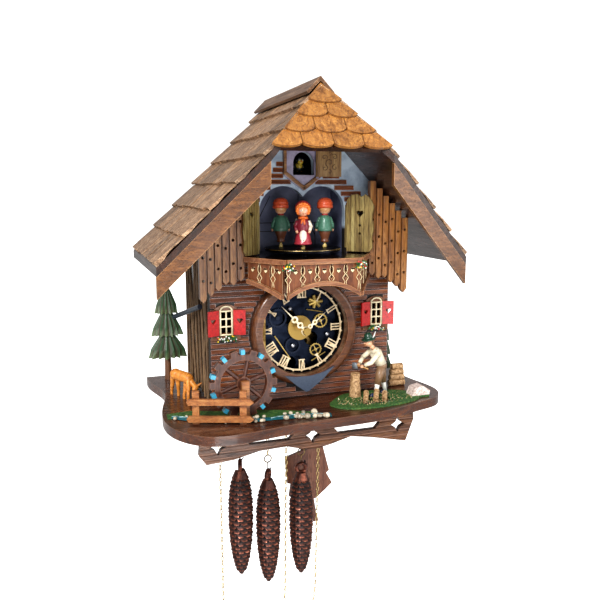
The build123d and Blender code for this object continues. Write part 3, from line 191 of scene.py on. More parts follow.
def ramp(tree, value, stops):
    node = tree.nodes.new("ShaderNodeValToRGB")
    while len(node.color_ramp.elements) < len(stops):
        node.color_ramp.elements.new(0.5)
    for element, (place, colour) in zip(node.color_ramp.elements, stops):
        element.position = place
        element.color = (*colour, 1)
    tree.links.new(value, node.inputs[0])
    return node.outputs["Color"]


def blend_colour(tree, mask, under, over, mode="MIX"):
    node = tree.nodes.new("ShaderNodeMix")
    node.data_type = "RGBA"
    node.blend_type = mode
    for socket, value in ((node.inputs["Factor"], mask), (node.inputs[6], under), (node.inputs[7], over)):
        if isinstance(value, (int, float)):
            socket.default_value = value
        elif isinstance(value, tuple):
            socket.default_value = (*value, 1)
        else:
            tree.links.new(value, socket)
    return node.outputs[2]


# Edges and corners: a mask from how far a rounded normal turns from the true one. The woods give
# their edges and corners another colour by it; on the siding that colour is a painted highlight.
edge_group, edge_in, edge_out = node_group(
    "edge_mask", [("Radius", "NodeSocketFloat"), ("Low", "NodeSocketFloat"), ("High", "NodeSocketFloat")],
    [("Mask", "NodeSocketFloat")])
rounded = edge_group.nodes.new("ShaderNodeBevel")
rounded.samples = 6
edge_group.links.new(edge_in.outputs["Radius"], rounded.inputs["Radius"])
true_normal = edge_group.nodes.new("ShaderNodeNewGeometry")
facing = edge_group.nodes.new("ShaderNodeVectorMath")
facing.operation = "DOT_PRODUCT"
edge_group.links.new(rounded.outputs[0], facing.inputs[0])
edge_group.links.new(true_normal.outputs["Normal"], facing.inputs[1])
edge_range = edge_group.nodes.new("ShaderNodeMapRange")
edge_group.links.new(calc(edge_group, "SUBTRACT", 1.0, facing.outputs["Value"]), edge_range.inputs[0])
edge_group.links.new(edge_in.outputs["Low"], edge_range.inputs[1])
edge_group.links.new(edge_in.outputs["High"], edge_range.inputs[2])
edge_group.links.new(edge_range.outputs[0], edge_out.inputs[0])


def edges(tree, radius, low=0.02, high=0.25):
    node = tree.nodes.new("ShaderNodeGroup")
    node.node_tree = edge_group
    for label, value in (("Radius", radius), ("Low", low), ("High", high)):
        node.inputs[label].default_value = value
    return node.outputs["Mask"]


def new_material(name):
    """A material with its tree, its shader and its Object coordinates."""
    material = bpy.data.materials.new(name)
    material.use_nodes = True
    tree = material.node_tree
    coordinates = tree.nodes.new("ShaderNodeTexCoord")
    return material, tree, tree.nodes["Principled BSDF"], coordinates.outputs["Object"]


def relief(tree, shader, height, distance, strength=1.0):
    bump = tree.nodes.new("ShaderNodeBump")
    bump.inputs["Distance"].default_value = distance
    bump.inputs["Strength"].default_value = strength
    tree.links.new(height, bump.inputs["Height"])
    tree.links.new(bump.outputs[0], shader.inputs["Normal"])


def metal(name, dark, light, rough=0.3, scale=60):
    """Bright metal with duller patches and fine scratches."""
    material, tree, shader, place = new_material(name)
    patches = noise(tree, place, scale, 5, 0.6)
    tree.links.new(ramp(tree, patches, [(0.375, dark), (0.6, light)]), shader.inputs["Base Color"])
    shader.inputs["Metallic"].default_value = 1.0
    tree.links.new(spread(tree, patches, 0.3, 0.7, rough + 0.18, rough), shader.inputs["Roughness"])
    relief(tree, shader, noise(tree, place, scale * 30, 2), 0.00003, 0.4)
    return material


def clouded(name, scale, stops, rough, bump=0.0, strength=1.0, coat=0.0, fine=None):
    """Paint, fur or bark: soft clouds of a few colours, which also raise the surface."""
    material, tree, shader, place = new_material(name)
    clouds = noise(tree, place, scale, 4, 0.6)
    tree.links.new(ramp(tree, clouds, stops), shader.inputs["Base Color"])
    shader.inputs["Roughness"].default_value = rough
    shader.inputs["Coat Weight"].default_value = coat
    if bump:
        relief(tree, shader, noise(tree, place, fine, 3) if fine else clouds, bump, strength)
    return material


chain_brass = metal("chain_brass", (0.36, 0.24, 0.08), (0.83, 0.66, 0.33), 0.22, 300)


def add_object(name, mesh, material, body, smooth=True):
    """A finished piece: its mesh in place, its material, and the body that it rides on."""
    piece = bpy.data.objects.new(name, mesh)
    bpy.context.collection.objects.link(piece)
    for one in material if isinstance(material, (list, tuple)) else [material]:
        mesh.materials.append(one)
    if smooth:
        mesh.shade_smooth()
    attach(piece, body)
    return piece


def bm_piece(name, bm, material, body, smooth=True, recalculate=True):
    if recalculate:
        bmesh.ops.recalc_face_normals(bm, faces=bm.faces)
    mesh = bpy.data.meshes.new(name)
    bm.to_mesh(mesh)
    bm.free()
    return add_object(name, mesh, material, body, smooth)


FACE_FRONT = Matrix.Rotation(math.pi / 2, 3, "X")


def flat_ring(bm, radius, wire, sides, steps, start=0.0):
    """A torus lying flat, made by turning a round section about the vertical."""
    section = bmesh.ops.create_circle(bm, segments=sides, radius=wire)["verts"]
    bmesh.ops.rotate(bm, verts=section, cent=(0, 0, 0), matrix=FACE_FRONT)
    bmesh.ops.translate(bm, verts=section, vec=(radius, 0, 0))
    bmesh.ops.rotate(bm, verts=section, cent=(0, 0, 0), matrix=Matrix.Rotation(start, 3, "Z"))
    bmesh.ops.spin(bm, geom=list(bm.edges), cent=(0, 0, 0), axis=(0, 0, 1), angle=math.tau, steps=steps,
                   use_merge=True)
    bmesh.ops.remove_doubles(bm, verts=bm.verts, dist=1e-6)


# One link: a ring of wire, pulled out to an oval along its own Y.
link_mesh = bpy.data.meshes.new("link")
bm = bmesh.new()
flat_ring(bm, CHAIN_D / 2 - LINK_WIRE, LINK_WIRE, 5, 12, math.radians(15))
for vertex in bm.verts:
    vertex.co.y += math.copysign((LINK_PITCH + 2 * LINK_WIRE - CHAIN_D) / 2, vertex.co.y)
bmesh.ops.recalc_face_normals(bm, faces=bm.faces)
bm.to_mesh(link_mesh)
bm.free()


def route_points(name, route):
    """The smooth line through a route: its points are a spline's control points."""
    curve = bpy.data.curves.new(name, "CURVE")
    curve.dimensions = "3D"
    curve.resolution_u = 8
    spline = curve.splines.new("NURBS")
    spline.points.add(len(route) - 1)
    for point, place in zip(spline.points, route):
        point.co = (*place, 1)
    spline.order_u = 3
    spline.use_endpoint_u = True
    holder = bpy.data.objects.new(name, curve)
    line = bpy.data.meshes.new_from_object(holder)
    points = [vertex.co.copy() for vertex in line.vertices]
    bpy.data.objects.remove(holder)
    return points


def chain_piece(name, route, body):
    """Links along a route, each turned a quarter from the one before it."""
    points = route_points(name + "_route", route)
    reached = [0.0]
    for start, end in zip(points, points[1:]):
        reached.append(reached[-1] + (end - start).length)
    count = int(reached[-1] / LINK_PITCH)
    bm = bmesh.new()
    step = 0
    for number in range(count):
        along = (number + 0.5) * reached[-1] / count
        while reached[step + 1] < along:
            step += 1
        start, end = points[step], points[step + 1]
        share = (along - reached[step]) / (reached[step + 1] - reached[step])
        first = len(bm.verts)
        bm.from_mesh(link_mesh)
        bm.verts.ensure_lookup_table()
        forward = (end - start).normalized()
        side = forward.cross(Vector((0.31, 0.95, 0.05))).normalized()
        frame_matrix = Matrix((side, forward, side.cross(forward))).transposed()
        turn = Matrix.Rotation(math.pi / 2 * (number % 2) + 0.35, 3, "Y")
        place = (frame_matrix @ turn).to_4x4()
        place.translation = start.lerp(end, share)
        bmesh.ops.transform(bm, matrix=place, verts=bm.verts[first:])
    return bm_piece(name, bm, chain_brass, body, recalculate=False), points, reached[-1]


for letter in "abc":
    middle, side = PULLEY_X[letter], LOAD_SIDE[letter]
    hook = CONE_TOP[letter] + RING_ABOVE_CAP
    load_x = middle + side * PULLEY_R
    # The load side hangs plumb from its wheel to the weight's ring.
    route = [(load_x, CHAIN_Y, PULLEY_Z), (load_x, CHAIN_Y, (PULLEY_Z + hook) / 2), (load_x, CHAIN_Y, hook)]
    load_chain, load_path, load_length = chain_piece("load_chain_" + letter, route, "drop_" + letter)
    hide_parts("chain_load_" + letter)
    # The pull side: over the wheel, straight down, and into the hank.
    free_x = middle - side * PULLEY_R
    reach = HANK_X[letter] - free_x
    corner = PULLEY_R * math.tan(math.pi / 8)
    top = PULLEY_Z + PULLEY_R
    route = [(load_x, CHAIN_Y, PULLEY_Z), (load_x, CHAIN_Y, PULLEY_Z + corner),
             (middle + side * corner, CHAIN_Y, top), (middle - side * corner, CHAIN_Y, top),
             (free_x, CHAIN_Y, PULLEY_Z + corner)]
    for share in (0.0, 0.08, 0.3, 0.55, 0.8, 0.95):
        route.append((free_x + reach * share, CHAIN_Y, PULLEY_Z + (HANK_TOP - PULLEY_Z) * share))
    high, low = HANK_TOP - HANK_END, HANK_TOP - HANK_H + HANK_END
    places = []
    for row in range(4):
        columns = range(-2, 3) if row % 2 == 0 else range(2, -3, -1)
        places += [(HANK_X[letter] + column * RUN_GAP,
                    CHAIN_Y + (row - 1.5) * RUN_GAP) for column in columns]
    for number, (x, y) in enumerate(places[:HANK_RUNS]):
        ends = (high, low) if number % 2 == 0 else (low, high)
        for z in (ends[0], ends[0] * 0.75 + ends[1] * 0.25, ends[0] * 0.25 + ends[1] * 0.75, ends[1]):
            route.append((x, y, z))
    pull_chain, pull_path, pull_length = chain_piece("pull_chain_" + letter, route, "pull_" + letter)
    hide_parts("chain_free_" + letter, "chain_hank_" + letter)
    bm = bmesh.new()
    for turn_z in (-TIE_GAP, TIE_GAP):
        band = bmesh.ops.create_circle(bm, segments=20, radius=TIE_R)["verts"]
        bmesh.ops.translate(bm, verts=band, vec=(HANK_X[letter], CHAIN_Y, HANK_TOP - HANK_H / 2 + turn_z))
    mesh = bpy.data.meshes.new("hank_tie_" + letter)
    bm.to_mesh(mesh)
    bm.free()
    tie = add_object("hank_tie_" + letter, mesh, chain_brass, "pull_" + letter)
    tie.modifiers.new("wire", "SKIN")
    for vertex in mesh.skin_vertices[0].data:
        vertex.radius = (TIE_WIRE, TIE_WIRE)

# ---------------------------------------------------------------- fir cone weights
# Each weight is a hollow iron casting of a fir cone, scales in spiral rows, under a pierced cap.
# It is coppered and darkened, then rubbed back so that the scales' edges shine. A wire hook holds it.
CONE_LENGTH = 0.147
CONE_PROFILE = ((0.0, 0.0018), (0.05, 0.0072), (0.16, 0.0112), (0.30, 0.0139), (0.45, 0.0152),
                (0.63, 0.0152), (0.75, 0.0135), (0.83, 0.0108), (0.865, 0.0088))
CONE_ROWS = 24
CONE_AROUND = 9
SCALED_SHARE = 0.865
STEPS_A_ROW = 7
POINTS_A_SCALE = 10
HOOK_WIRE = 0.0007
HOOK_R = 0.0044
CAP_TURN = {"a": 75, "b": 55, "c": 0}

antique, tree, shader, place = new_material("antique_copper")
worn = edges(tree, 0.0009, 0.01, 0.2)
clouds = noise(tree, place, 160, 4, 0.6)
scale_tone = attribute(tree, "height")
raised = calc(tree, "MULTIPLY", spread(tree, scale_tone["Fac"], 0.25, 1.0),
              spread(tree, clouds, 0.3, 0.62, 0.35, 1.1))
tree.links.new(ramp(tree, raised, [(0.0, (0.012, 0.007, 0.007)), (0.35, (0.075, 0.024, 0.016)),
                                   (0.7, (0.30, 0.105, 0.065)), (1.0, (0.62, 0.27, 0.17))]),
               shader.inputs["Base Color"])
tree.links.new(spread(tree, raised, 0, 1, 0.55, 0.3), shader.inputs["Roughness"])
tree.links.new(spread(tree, raised, 0, 0.8, 0.35, 0.85), shader.inputs["Metallic"])
relief(tree, shader, clouds, 0.0003, 0.35)
hook_brass = metal("hook_brass", (0.05, 0.035, 0.02), (0.32, 0.22, 0.10), 0.35, 250)


def profile_at(table, share):
    for (s0, r0), (s1, r1) in zip(table, table[1:]):
        if share <= s1:
            return r0 + (r1 - r0) * (share - s0) / (s1 - s0)
    return table[-1][1]


def wire_ring(bm, centre, radius, wire, turn=0.0, segments=24, sides=8, stretch=1.0):
    """A torus standing in its own XZ plane, turned about the vertical."""
    first = len(bm.verts)
    section = bmesh.ops.create_circle(bm, segments=sides, radius=wire)
    bmesh.ops.translate(bm, verts=section["verts"], vec=(radius, 0, 0))
    bm.verts.ensure_lookup_table()
    around = list({edge for v in section["verts"] for edge in v.link_edges})
    bmesh.ops.spin(bm, geom=around + section["verts"], cent=(0, 0, 0), axis=(0, 1, 0),
                   angle=math.tau, steps=segments, use_merge=True)
    bm.verts.ensure_lookup_table()
    verts = bm.verts[first:]
    place = Matrix.Translation(centre) @ Matrix.Rotation(turn, 4, "Z") @ Matrix.Scale(stretch, 4, (0, 0, 1))
    bmesh.ops.transform(bm, matrix=place, verts=verts)
    return verts


for letter in "abc":
    top = CONE_TOP[letter]
    cone_x = PULLEY_X[letter] + LOAD_SIDE[letter] * PULLEY_R
    bm = bmesh.new()
    height_layer = bm.verts.layers.float.new("height")
    core = bmesh.ops.create_circle(bm, segments=CONE_AROUND * POINTS_A_SCALE, radius=1.0)["verts"]
    steps = CONE_ROWS * STEPS_A_ROW
    layers = [core]
    ring_edges = list(bm.edges)
    for number in range(steps):
        grown = bmesh.ops.extrude_edge_only(bm, edges=ring_edges)["geom"]
        layers.append([one for one in grown if isinstance(one, bmesh.types.BMVert)])
        ring_edges = [one for one in grown if isinstance(one, bmesh.types.BMEdge)]
    for number, layer in enumerate(layers):
        share = number / steps
        row_place = share * CONE_ROWS
        radius = profile_at(CONE_PROFILE, share * SCALED_SHARE)
        for vertex in layer:
            angle = math.atan2(vertex.co.y, vertex.co.x)
            # A scale is widest and stands proudest at its lower lip; rows lean in a slow spiral.
            around = angle / math.tau * CONE_AROUND + row_place * 0.5
            cell = abs((around % 1.0) - 0.5) * 2
            lip = (row_place - 0.42 * cell * cell) % 1.0
            lift = (1 - lip) ** 1.2 * (0.35 + 0.65 * (1 - cell ** 3))
            vertex[height_layer] = lift
            out = radius * (0.80 + 0.24 * lift)
            vertex.co = (out * math.cos(angle), out * math.sin(angle),
                         -CONE_LENGTH + share * CONE_LENGTH * SCALED_SHARE)
    bmesh.ops.contextual_create(bm, geom=layers[0])
    bmesh.ops.contextual_create(bm, geom=layers[-1])
    # The cap: a ball of flat scales that ends in a thick pierced loop.
    neck = bmesh.ops.create_cone(bm, cap_ends=True, segments=10, radius1=0.0098, radius2=0.0058,
                                 depth=0.0095)["verts"]
    bmesh.ops.translate(bm, verts=neck, vec=(0, 0, -0.0185))
    loop = wire_ring(bm, (0, 0, -0.0082), 0.0060, 0.0026, math.radians(CAP_TURN[letter]), 14, 7, 0.9)
    for vertex in loop:
        vertex.co.z = min(vertex.co.z, -0.0004)
    for vertex in list(neck) + list(loop):
        vertex[height_layer] = 0.45 + 0.4 * random.random()
    bmesh.ops.translate(bm, verts=bm.verts, vec=(cone_x, CHAIN_Y, top))
    cone = bm_piece("fir_cone_" + letter, bm, antique, "drop_" + letter, smooth=False)
    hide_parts("cone_" + letter)
    bm = bmesh.new()
    wire_ring(bm, (cone_x, CHAIN_Y, top + 0.012), HOOK_R, HOOK_WIRE, 0.0, 28)
    shank = bmesh.ops.create_cone(bm, cap_ends=True, segments=8, radius1=HOOK_WIRE, radius2=HOOK_WIRE,
                                  depth=0.0085)["verts"]
    bmesh.ops.translate(bm, verts=shank, vec=(cone_x, CHAIN_Y, top + 0.0034))
    bm_piece("weight_hook_" + letter, bm, hook_brass, "drop_" + letter)

# ---------------------------------------------------------------- case
# Boards of beech and fir, stained nearly black and lacquered. The facade is milled as siding, whose
# cut edges carry a painted pale lilac highlight; crossed twigs are glued to the dark side walls.
CASE_HALF = 0.105
FACADE = -0.140
BASE_TOP = -0.240
RIDGE_Z = 0.097
EAVE_Z = -0.0767
EAVE_HALF = 0.170
SLOPE = (RIDGE_Z - EAVE_Z) / EAVE_HALF
ROOF_DEPTH = 0.0157
DIAL_Z = -0.1626

figure_group, figure_in, figure_out = node_group(
    "wood_figure", [("Vector", "NodeSocketVector"), ("Shift", "NodeSocketFloat")],
    [("Figure", "NodeSocketFloat"), ("Pores", "NodeSocketFloat")])
moved = figure_group.nodes.new("ShaderNodeVectorMath")
moved.operation = "ADD"
figure_group.links.new(figure_in.outputs["Vector"], moved.inputs[0])
figure_group.links.new(figure_in.outputs["Shift"], moved.inputs[1])
bands = noise(figure_group, moved.outputs[0], 170, 5, 0.62, 0.9)
hairs = noise(figure_group, moved.outputs[0], 900, 3, 0.6)
mixed = calc(figure_group, "ADD", calc(figure_group, "MULTIPLY", bands, 0.72),
             calc(figure_group, "MULTIPLY", hairs, 0.28))
figure_group.links.new(mixed, figure_out.inputs[0])
figure_group.links.new(spread(figure_group, noise(figure_group, moved.outputs[0], 1500, 2, 0.5), 0.57,
                              0.66), figure_out.inputs[1])


def grain(tree, place, along="Z", scale=1.0):
    """Wood figure drawn out along one axis, shifted piece by piece by the tone attribute."""
    stretch = {"X": (0.07, 1, 1), "Y": (1, 0.07, 1), "Z": (1, 1, 0.07)}[along]
    mapping = tree.nodes.new("ShaderNodeMapping")
    mapping.inputs["Scale"].default_value = [number * scale for number in stretch]
    tree.links.new(place, mapping.inputs["Vector"])
    tone = attribute(tree, "tone")["Fac"]
    node = tree.nodes.new("ShaderNodeGroup")
    node.node_tree = figure_group
    tree.links.new(mapping.outputs[0], node.inputs["Vector"])
    tree.links.new(tone, node.inputs["Shift"])
    return node.outputs["Figure"], node.outputs["Pores"], tone


def wood(name, dark, mid, light, along="Z", scale=1.0, rough=0.4, coat=0.0, edge=None, edge_size=0.0008,
         bump=0.00025, stripes=None, vary=0.5):
    """Stained wood: figure, pores, a tone for each piece, and edges in another colour: rubbed wear on some woods, a
    painted highlight on the siding.
    """
    material, tree, shader, place = new_material(name)
    figure, pores, tone = grain(tree, place, along, scale)
    colour = ramp(tree, figure, [(0.36, dark), (0.5, mid), (0.66, light)])
    colour = blend_colour(tree, calc(tree, "MULTIPLY", pores, 0.55), colour, tuple(v * 0.3 for v in dark))
    level = calc(tree, "ADD", 1 - vary / 2, calc(tree, "MULTIPLY", tone, vary))
    colour = blend_colour(tree, 1.0, colour, even_colour(tree, level), "MULTIPLY")
    height = calc(tree, "SUBTRACT", figure, calc(tree, "MULTIPLY", pores, 0.5))
    if stripes:
        axis, pitch, depth, line = stripes
        phase = calc(tree, "FRACT", calc(tree, "DIVIDE", axes(tree, place)[axis], pitch))
        groove = calc(tree, "PINGPONG", phase, 0.5)
        colour = blend_colour(tree, spread(tree, groove, 0.16, 0.02, 0, 0.8), colour, line)
        height = calc(tree, "ADD", height, calc(tree, "MULTIPLY", spread(tree, groove, 0.0, 0.3), depth))
    # The edge colour: rubbed wear on some woods, a painted highlight on the siding's board edges.
    if edge:
        worn = calc(tree, "MULTIPLY", edges(tree, edge_size), spread(tree, figure, 0.3, 0.6, 0.5, 1.0))
        colour = blend_colour(tree, worn, colour, edge)
    tree.links.new(colour, shader.inputs["Base Color"])
    tree.links.new(spread(tree, figure, 0.3, 0.7, rough + 0.1, rough - 0.06), shader.inputs["Roughness"])
    shader.inputs["Coat Weight"].default_value = coat
    shader.inputs["Coat Roughness"].default_value = 0.12
    relief(tree, shader, height, bump)
    return material


def dress(node, material):
    """Gives a carried-over node its finish."""
    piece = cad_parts[node]
    if not piece.material_slots:
        piece.data.materials.append(material)
    for holder in piece.material_slots:
        holder.material = material


case_black = wood("case_black", (0.006, 0.004, 0.003), (0.014, 0.008, 0.006), (0.035, 0.017, 0.011), "Z",
                  1.0, 0.16, 0.8)
case_brown = wood("case_brown", (0.022, 0.008, 0.004), (0.048, 0.016, 0.008), (0.10, 0.034, 0.014), "Y",
                  1.0, 0.42, 0.1)
# Under the gable the board is painted pale blue-grey; below that it is stained nearly black.
stucco, tree, shader, place = new_material("stucco")
whole = axes(tree, place)
clouds = noise(tree, place, 70, 4, 0.6)
pale = ramp(tree, clouds, [(0.35, (0.26, 0.32, 0.40)), (0.6, (0.44, 0.52, 0.60))])
high = spread(tree, whole["Z"], -0.052, -0.048, 0, 1)
tree.links.new(blend_colour(tree, high, (0.016, 0.012, 0.010), pale), shader.inputs["Base Color"])
shader.inputs["Roughness"].default_value = 0.4
relief(tree, shader, clouds, 0.0003)
# The siding's pale lilac edge colour (0.62, 0.48, 0.46) is a painted highlight on the boards' edges.
siding_brown = wood("siding_brown", (0.06, 0.016, 0.006), (0.15, 0.043, 0.014), (0.28, 0.095, 0.032), "X",
                    1.0, 0.2, 0.6, (0.62, 0.48, 0.46), 0.0011)
twig_tan = wood("twig_tan", (0.10, 0.055, 0.028), (0.17, 0.10, 0.05), (0.27, 0.17, 0.09), "Z", 1.4, 0.6)
dress("front_panel", stucco)
dress("side_walls", case_black)
dress("back_panel", case_brown)


def add_box(bm, low, high, bevel=0.0, tone=None, segments=1):
    """A box between two corners, with its edges eased; returns its vertices."""
    first = set(bm.verts)
    made = bmesh.ops.create_cube(bm, size=1.0)["verts"]
    size = [b - a for a, b in zip(low, high)]
    middle = [(a + b) / 2 for a, b in zip(low, high)]
    bmesh.ops.scale(bm, verts=made, vec=size)
    bmesh.ops.translate(bm, verts=made, vec=middle)
    if bevel:
        around = list({edge for vertex in made for edge in vertex.link_edges})
        bmesh.ops.bevel(bm, geom=around, offset=bevel, segments=segments, affect="EDGES", profile=0.5,
                        material=-1)
    verts = [vertex for vertex in bm.verts if vertex not in first]
    if tone is not None:
        layer = bm.verts.layers.float["tone"]
        for vertex in verts:
            vertex[layer] = tone
    return verts


def toned_bm():
    bm = bmesh.new()
    bm.verts.layers.float.new("tone")
    return bm


DIAL_CLEAR = 0.0625
ARCH_CLEAR = 0.0295
ARCH_X = 0.022
NICHE_HALF = 0.0515
SURROUND_HALF = 0.0225
WINDOW_X = 0.088
WINDOW_Z = -0.1485
WINDOW_CLEAR = 0.010
NARROWEST = 0.006


def free_spans(z):
    """The stretches of the facade that siding covers at a height."""
    limit = min(CASE_HALF - 0.0005, (RIDGE_Z - ROOF_DEPTH - z - 0.006) / SLOPE)
    gaps = []
    if abs(z - DIAL_Z) < DIAL_CLEAR:
        reach = math.sqrt(DIAL_CLEAR ** 2 - (z - DIAL_Z) ** 2)
        gaps.append((-reach, reach))
    if -0.084 < z < -0.032:
        gaps.append((-NICHE_HALF, NICHE_HALF))
    for centre in (-ARCH_X, ARCH_X):
        if -0.032 <= z < -0.0025:
            reach = math.sqrt(max(0.0, ARCH_CLEAR ** 2 - (z + 0.032) ** 2))
            gaps.append((centre - reach, centre + reach))
    if -0.010 < z < 0.006:
        reach = SURROUND_HALF * (z + 0.010) / 0.016
        gaps.append((-reach, reach))
    if 0.006 <= z < 0.040:
        gaps.append((-SURROUND_HALF, SURROUND_HALF))
    for centre in (-WINDOW_X, WINDOW_X):
        if abs(z - WINDOW_Z) < 0.021:
            gaps.append((centre - WINDOW_CLEAR, centre + WINDOW_CLEAR))
    # A dark field is left under the dial, and one at each upper corner beside the arches.
    if -0.2345 < z < -0.205:
        reach = 0.052 * (z + 0.2345) / 0.0295
        gaps.append((-reach, reach))
    if -0.02 < z < 0.05:
        reach = 0.016 - abs(z - 0.012) * 0.42
        for side in (-1, 1):
            middle = side * (limit - 0.012)
            if reach > 0.002:
                gaps.append((middle - reach, middle + reach))
    spans = [(-limit, limit)]
    for low, high in gaps:
        cut = []
        for start, end in spans:
            if high <= start or low >= end:
                cut.append((start, end))
                continue
            if low > start:
                cut.append((start, low))
            if high < end:
                cut.append((high, end))
        spans = cut
    return [(start, end) for start, end in spans if end - start > NARROWEST]


SIDING_STEP = 0.0062
bm = toned_bm()
height = BASE_TOP + 0.0012
while height < 0.062:
    tone = random.random()
    for start, end in free_spans(height + SIDING_STEP / 2):
        board = add_box(bm, (start, FACADE - 0.0017, height),
                        (end, FACADE + 0.0004, height + SIDING_STEP - 0.0011), 0.0005, tone)
        for vertex in board:
            if vertex.co.z > height + SIDING_STEP / 2:
                vertex.co.y = max(vertex.co.y, FACADE - 0.0008)
    height += SIDING_STEP
bm_piece("siding", bm, siding_brown, "case", smooth=False)

# The crossed twigs: lengths of split twig, two or three deep, on each side wall.
bm = toned_bm()
twigs = ((-0.130, -0.238, -0.118, -0.040), (-0.112, -0.238, -0.096, -0.044),
         (-0.094, -0.232, -0.076, -0.045), (-0.129, -0.172, -0.100, -0.050),
         (-0.126, -0.238, -0.098, -0.142), (-0.098, -0.236, -0.126, -0.148),
         (-0.120, -0.150, -0.090, -0.062), (-0.074, -0.238, -0.060, -0.046),
         (-0.060, -0.236, -0.032, -0.120), (-0.034, -0.238, -0.062, -0.110),
         (-0.028, -0.236, -0.018, -0.050), (-0.050, -0.150, -0.022, -0.060),
         (-0.088, -0.160, -0.060, -0.060), (-0.062, -0.176, -0.090, -0.070),
         (-0.010, -0.236, -0.012, -0.048))
for y0, z0, y1, z1 in twigs:
    run = Vector((0, y1 - y0, z1 - z0))
    for side in (-1, 1):
        tone = random.random()
        made = add_box(bm, (-0.0009, -0.0014, -run.length / 2), (0.0011, 0.0014, run.length / 2), 0.0006,
                       tone)
        lean = math.atan2(-run.y, run.z)
        place = Matrix.Translation((side * (CASE_HALF + 0.0007 + 0.0004 * tone), (y0 + y1) / 2,
                                    (z0 + z1) / 2))
        bmesh.ops.transform(bm, matrix=place @ Matrix.Rotation(lean, 4, "X"), verts=made)
bm_piece("side_twigs", bm, twig_tan, "case", smooth=False)

# ---------------------------------------------------------------- platform and apron
# One thick board with a hand-cut wavy edge, and the pierced board under it, milled with long ridges
# whose crests are rubbed pale. Both are stained red-brown and lacquered.
platform_red = wood("platform_red", (0.040, 0.012, 0.006), (0.095, 0.029, 0.012), (0.18, 0.062, 0.024),
                    "X", 0.8, 0.26, 0.4, (0.20, 0.10, 0.055), 0.0016)
apron_ridged = wood("apron_ridged", (0.07, 0.022, 0.009), (0.19, 0.068, 0.022), (0.33, 0.14, 0.050), "X",
                    0.9, 0.3, 0.4, (0.015, 0.007, 0.005), 0.0012, bump=0.0009,
                    stripes=(2, 0.0064, 1.6, (0.36, 0.19, 0.13)))
dress("base_platform", platform_red)
dress("apron", apron_ridged)

# ---------------------------------------------------------------- roof
# Split shakes nailed in seven rows on two dark boards, weathered by stain; the little half hip over
# the front has rows of round-ended oak shingles. Bargeboards and a ridge cap finish the edges.
SLOPE_LENGTH = math.hypot(EAVE_HALF, RIDGE_Z - EAVE_Z)
PITCH = math.atan2(RIDGE_Z - EAVE_Z, EAVE_HALF)
SHAKE_ROWS = 7
SHAKE_T = 0.0030
SHAKE_WIDTH = (0.017, 0.034)
SHAKE_LEAST = 0.012
SHAKE_COLUMNS = 7
RAGGED = 0.0013
DEEPEST = -0.0049
FIRST_SKIRT = 0.0049
HIP_HALF = 0.0632
HIP_FRONT = -0.2296
RIDGE_FRONT = -0.194
EAVE_FRONT = -0.202
SHINGLE_DEPTH = 0.005
ROOF_BOARD = 0.006

shake_wood = wood("shake_wood", (0.10, 0.05, 0.026), (0.27, 0.15, 0.078), (0.50, 0.33, 0.20), "X", 1.25,
                  0.5, 0.08, (0.62, 0.42, 0.25), 0.0007, bump=0.0006, vary=0.75)
oak_wood = wood("oak_wood", (0.16, 0.060, 0.012), (0.36, 0.15, 0.035), (0.56, 0.27, 0.07), "Z", 1.1, 0.28,
                0.5, (0.05, 0.02, 0.01), 0.0009, bump=0.0005, vary=0.35)
soffit_dark = wood("soffit_dark", (0.02, 0.008, 0.004), (0.045, 0.016, 0.008), (0.085, 0.030, 0.014), "Y",
                   0.8, 0.3, 0.2)
barge_wood = wood("barge_wood", (0.09, 0.032, 0.009), (0.18, 0.068, 0.018), (0.31, 0.13, 0.038), "X", 1.0,
                  0.32, 0.3, (0.62, 0.34, 0.14), 0.0010)
for node in ("roof_left", "roof_right"):
    dress(node, soffit_dark)
dress("bargeboards", barge_wood)
cap_wood = wood("cap_wood", (0.09, 0.040, 0.018), (0.20, 0.095, 0.042), (0.36, 0.20, 0.10), "Y", 1.1,
                0.45, 0.1, (0.50, 0.30, 0.16), 0.0008)
dress("ridge_cap", cap_wood)


def front_of(x):
    """How far forward the roof reaches, at a distance from its middle."""
    if x < HIP_HALF:
        return RIDGE_FRONT + (HIP_FRONT - RIDGE_FRONT) * x / HIP_HALF
    return HIP_FRONT + (EAVE_FRONT - HIP_FRONT) * (x - HIP_HALF) / (EAVE_HALF - HIP_HALF)


def slope_place(along, y, up):
    return Vector((along * math.cos(PITCH) + up * math.sin(PITCH), y,
                   RIDGE_Z - along * math.sin(PITCH) + up * math.cos(PITCH)))


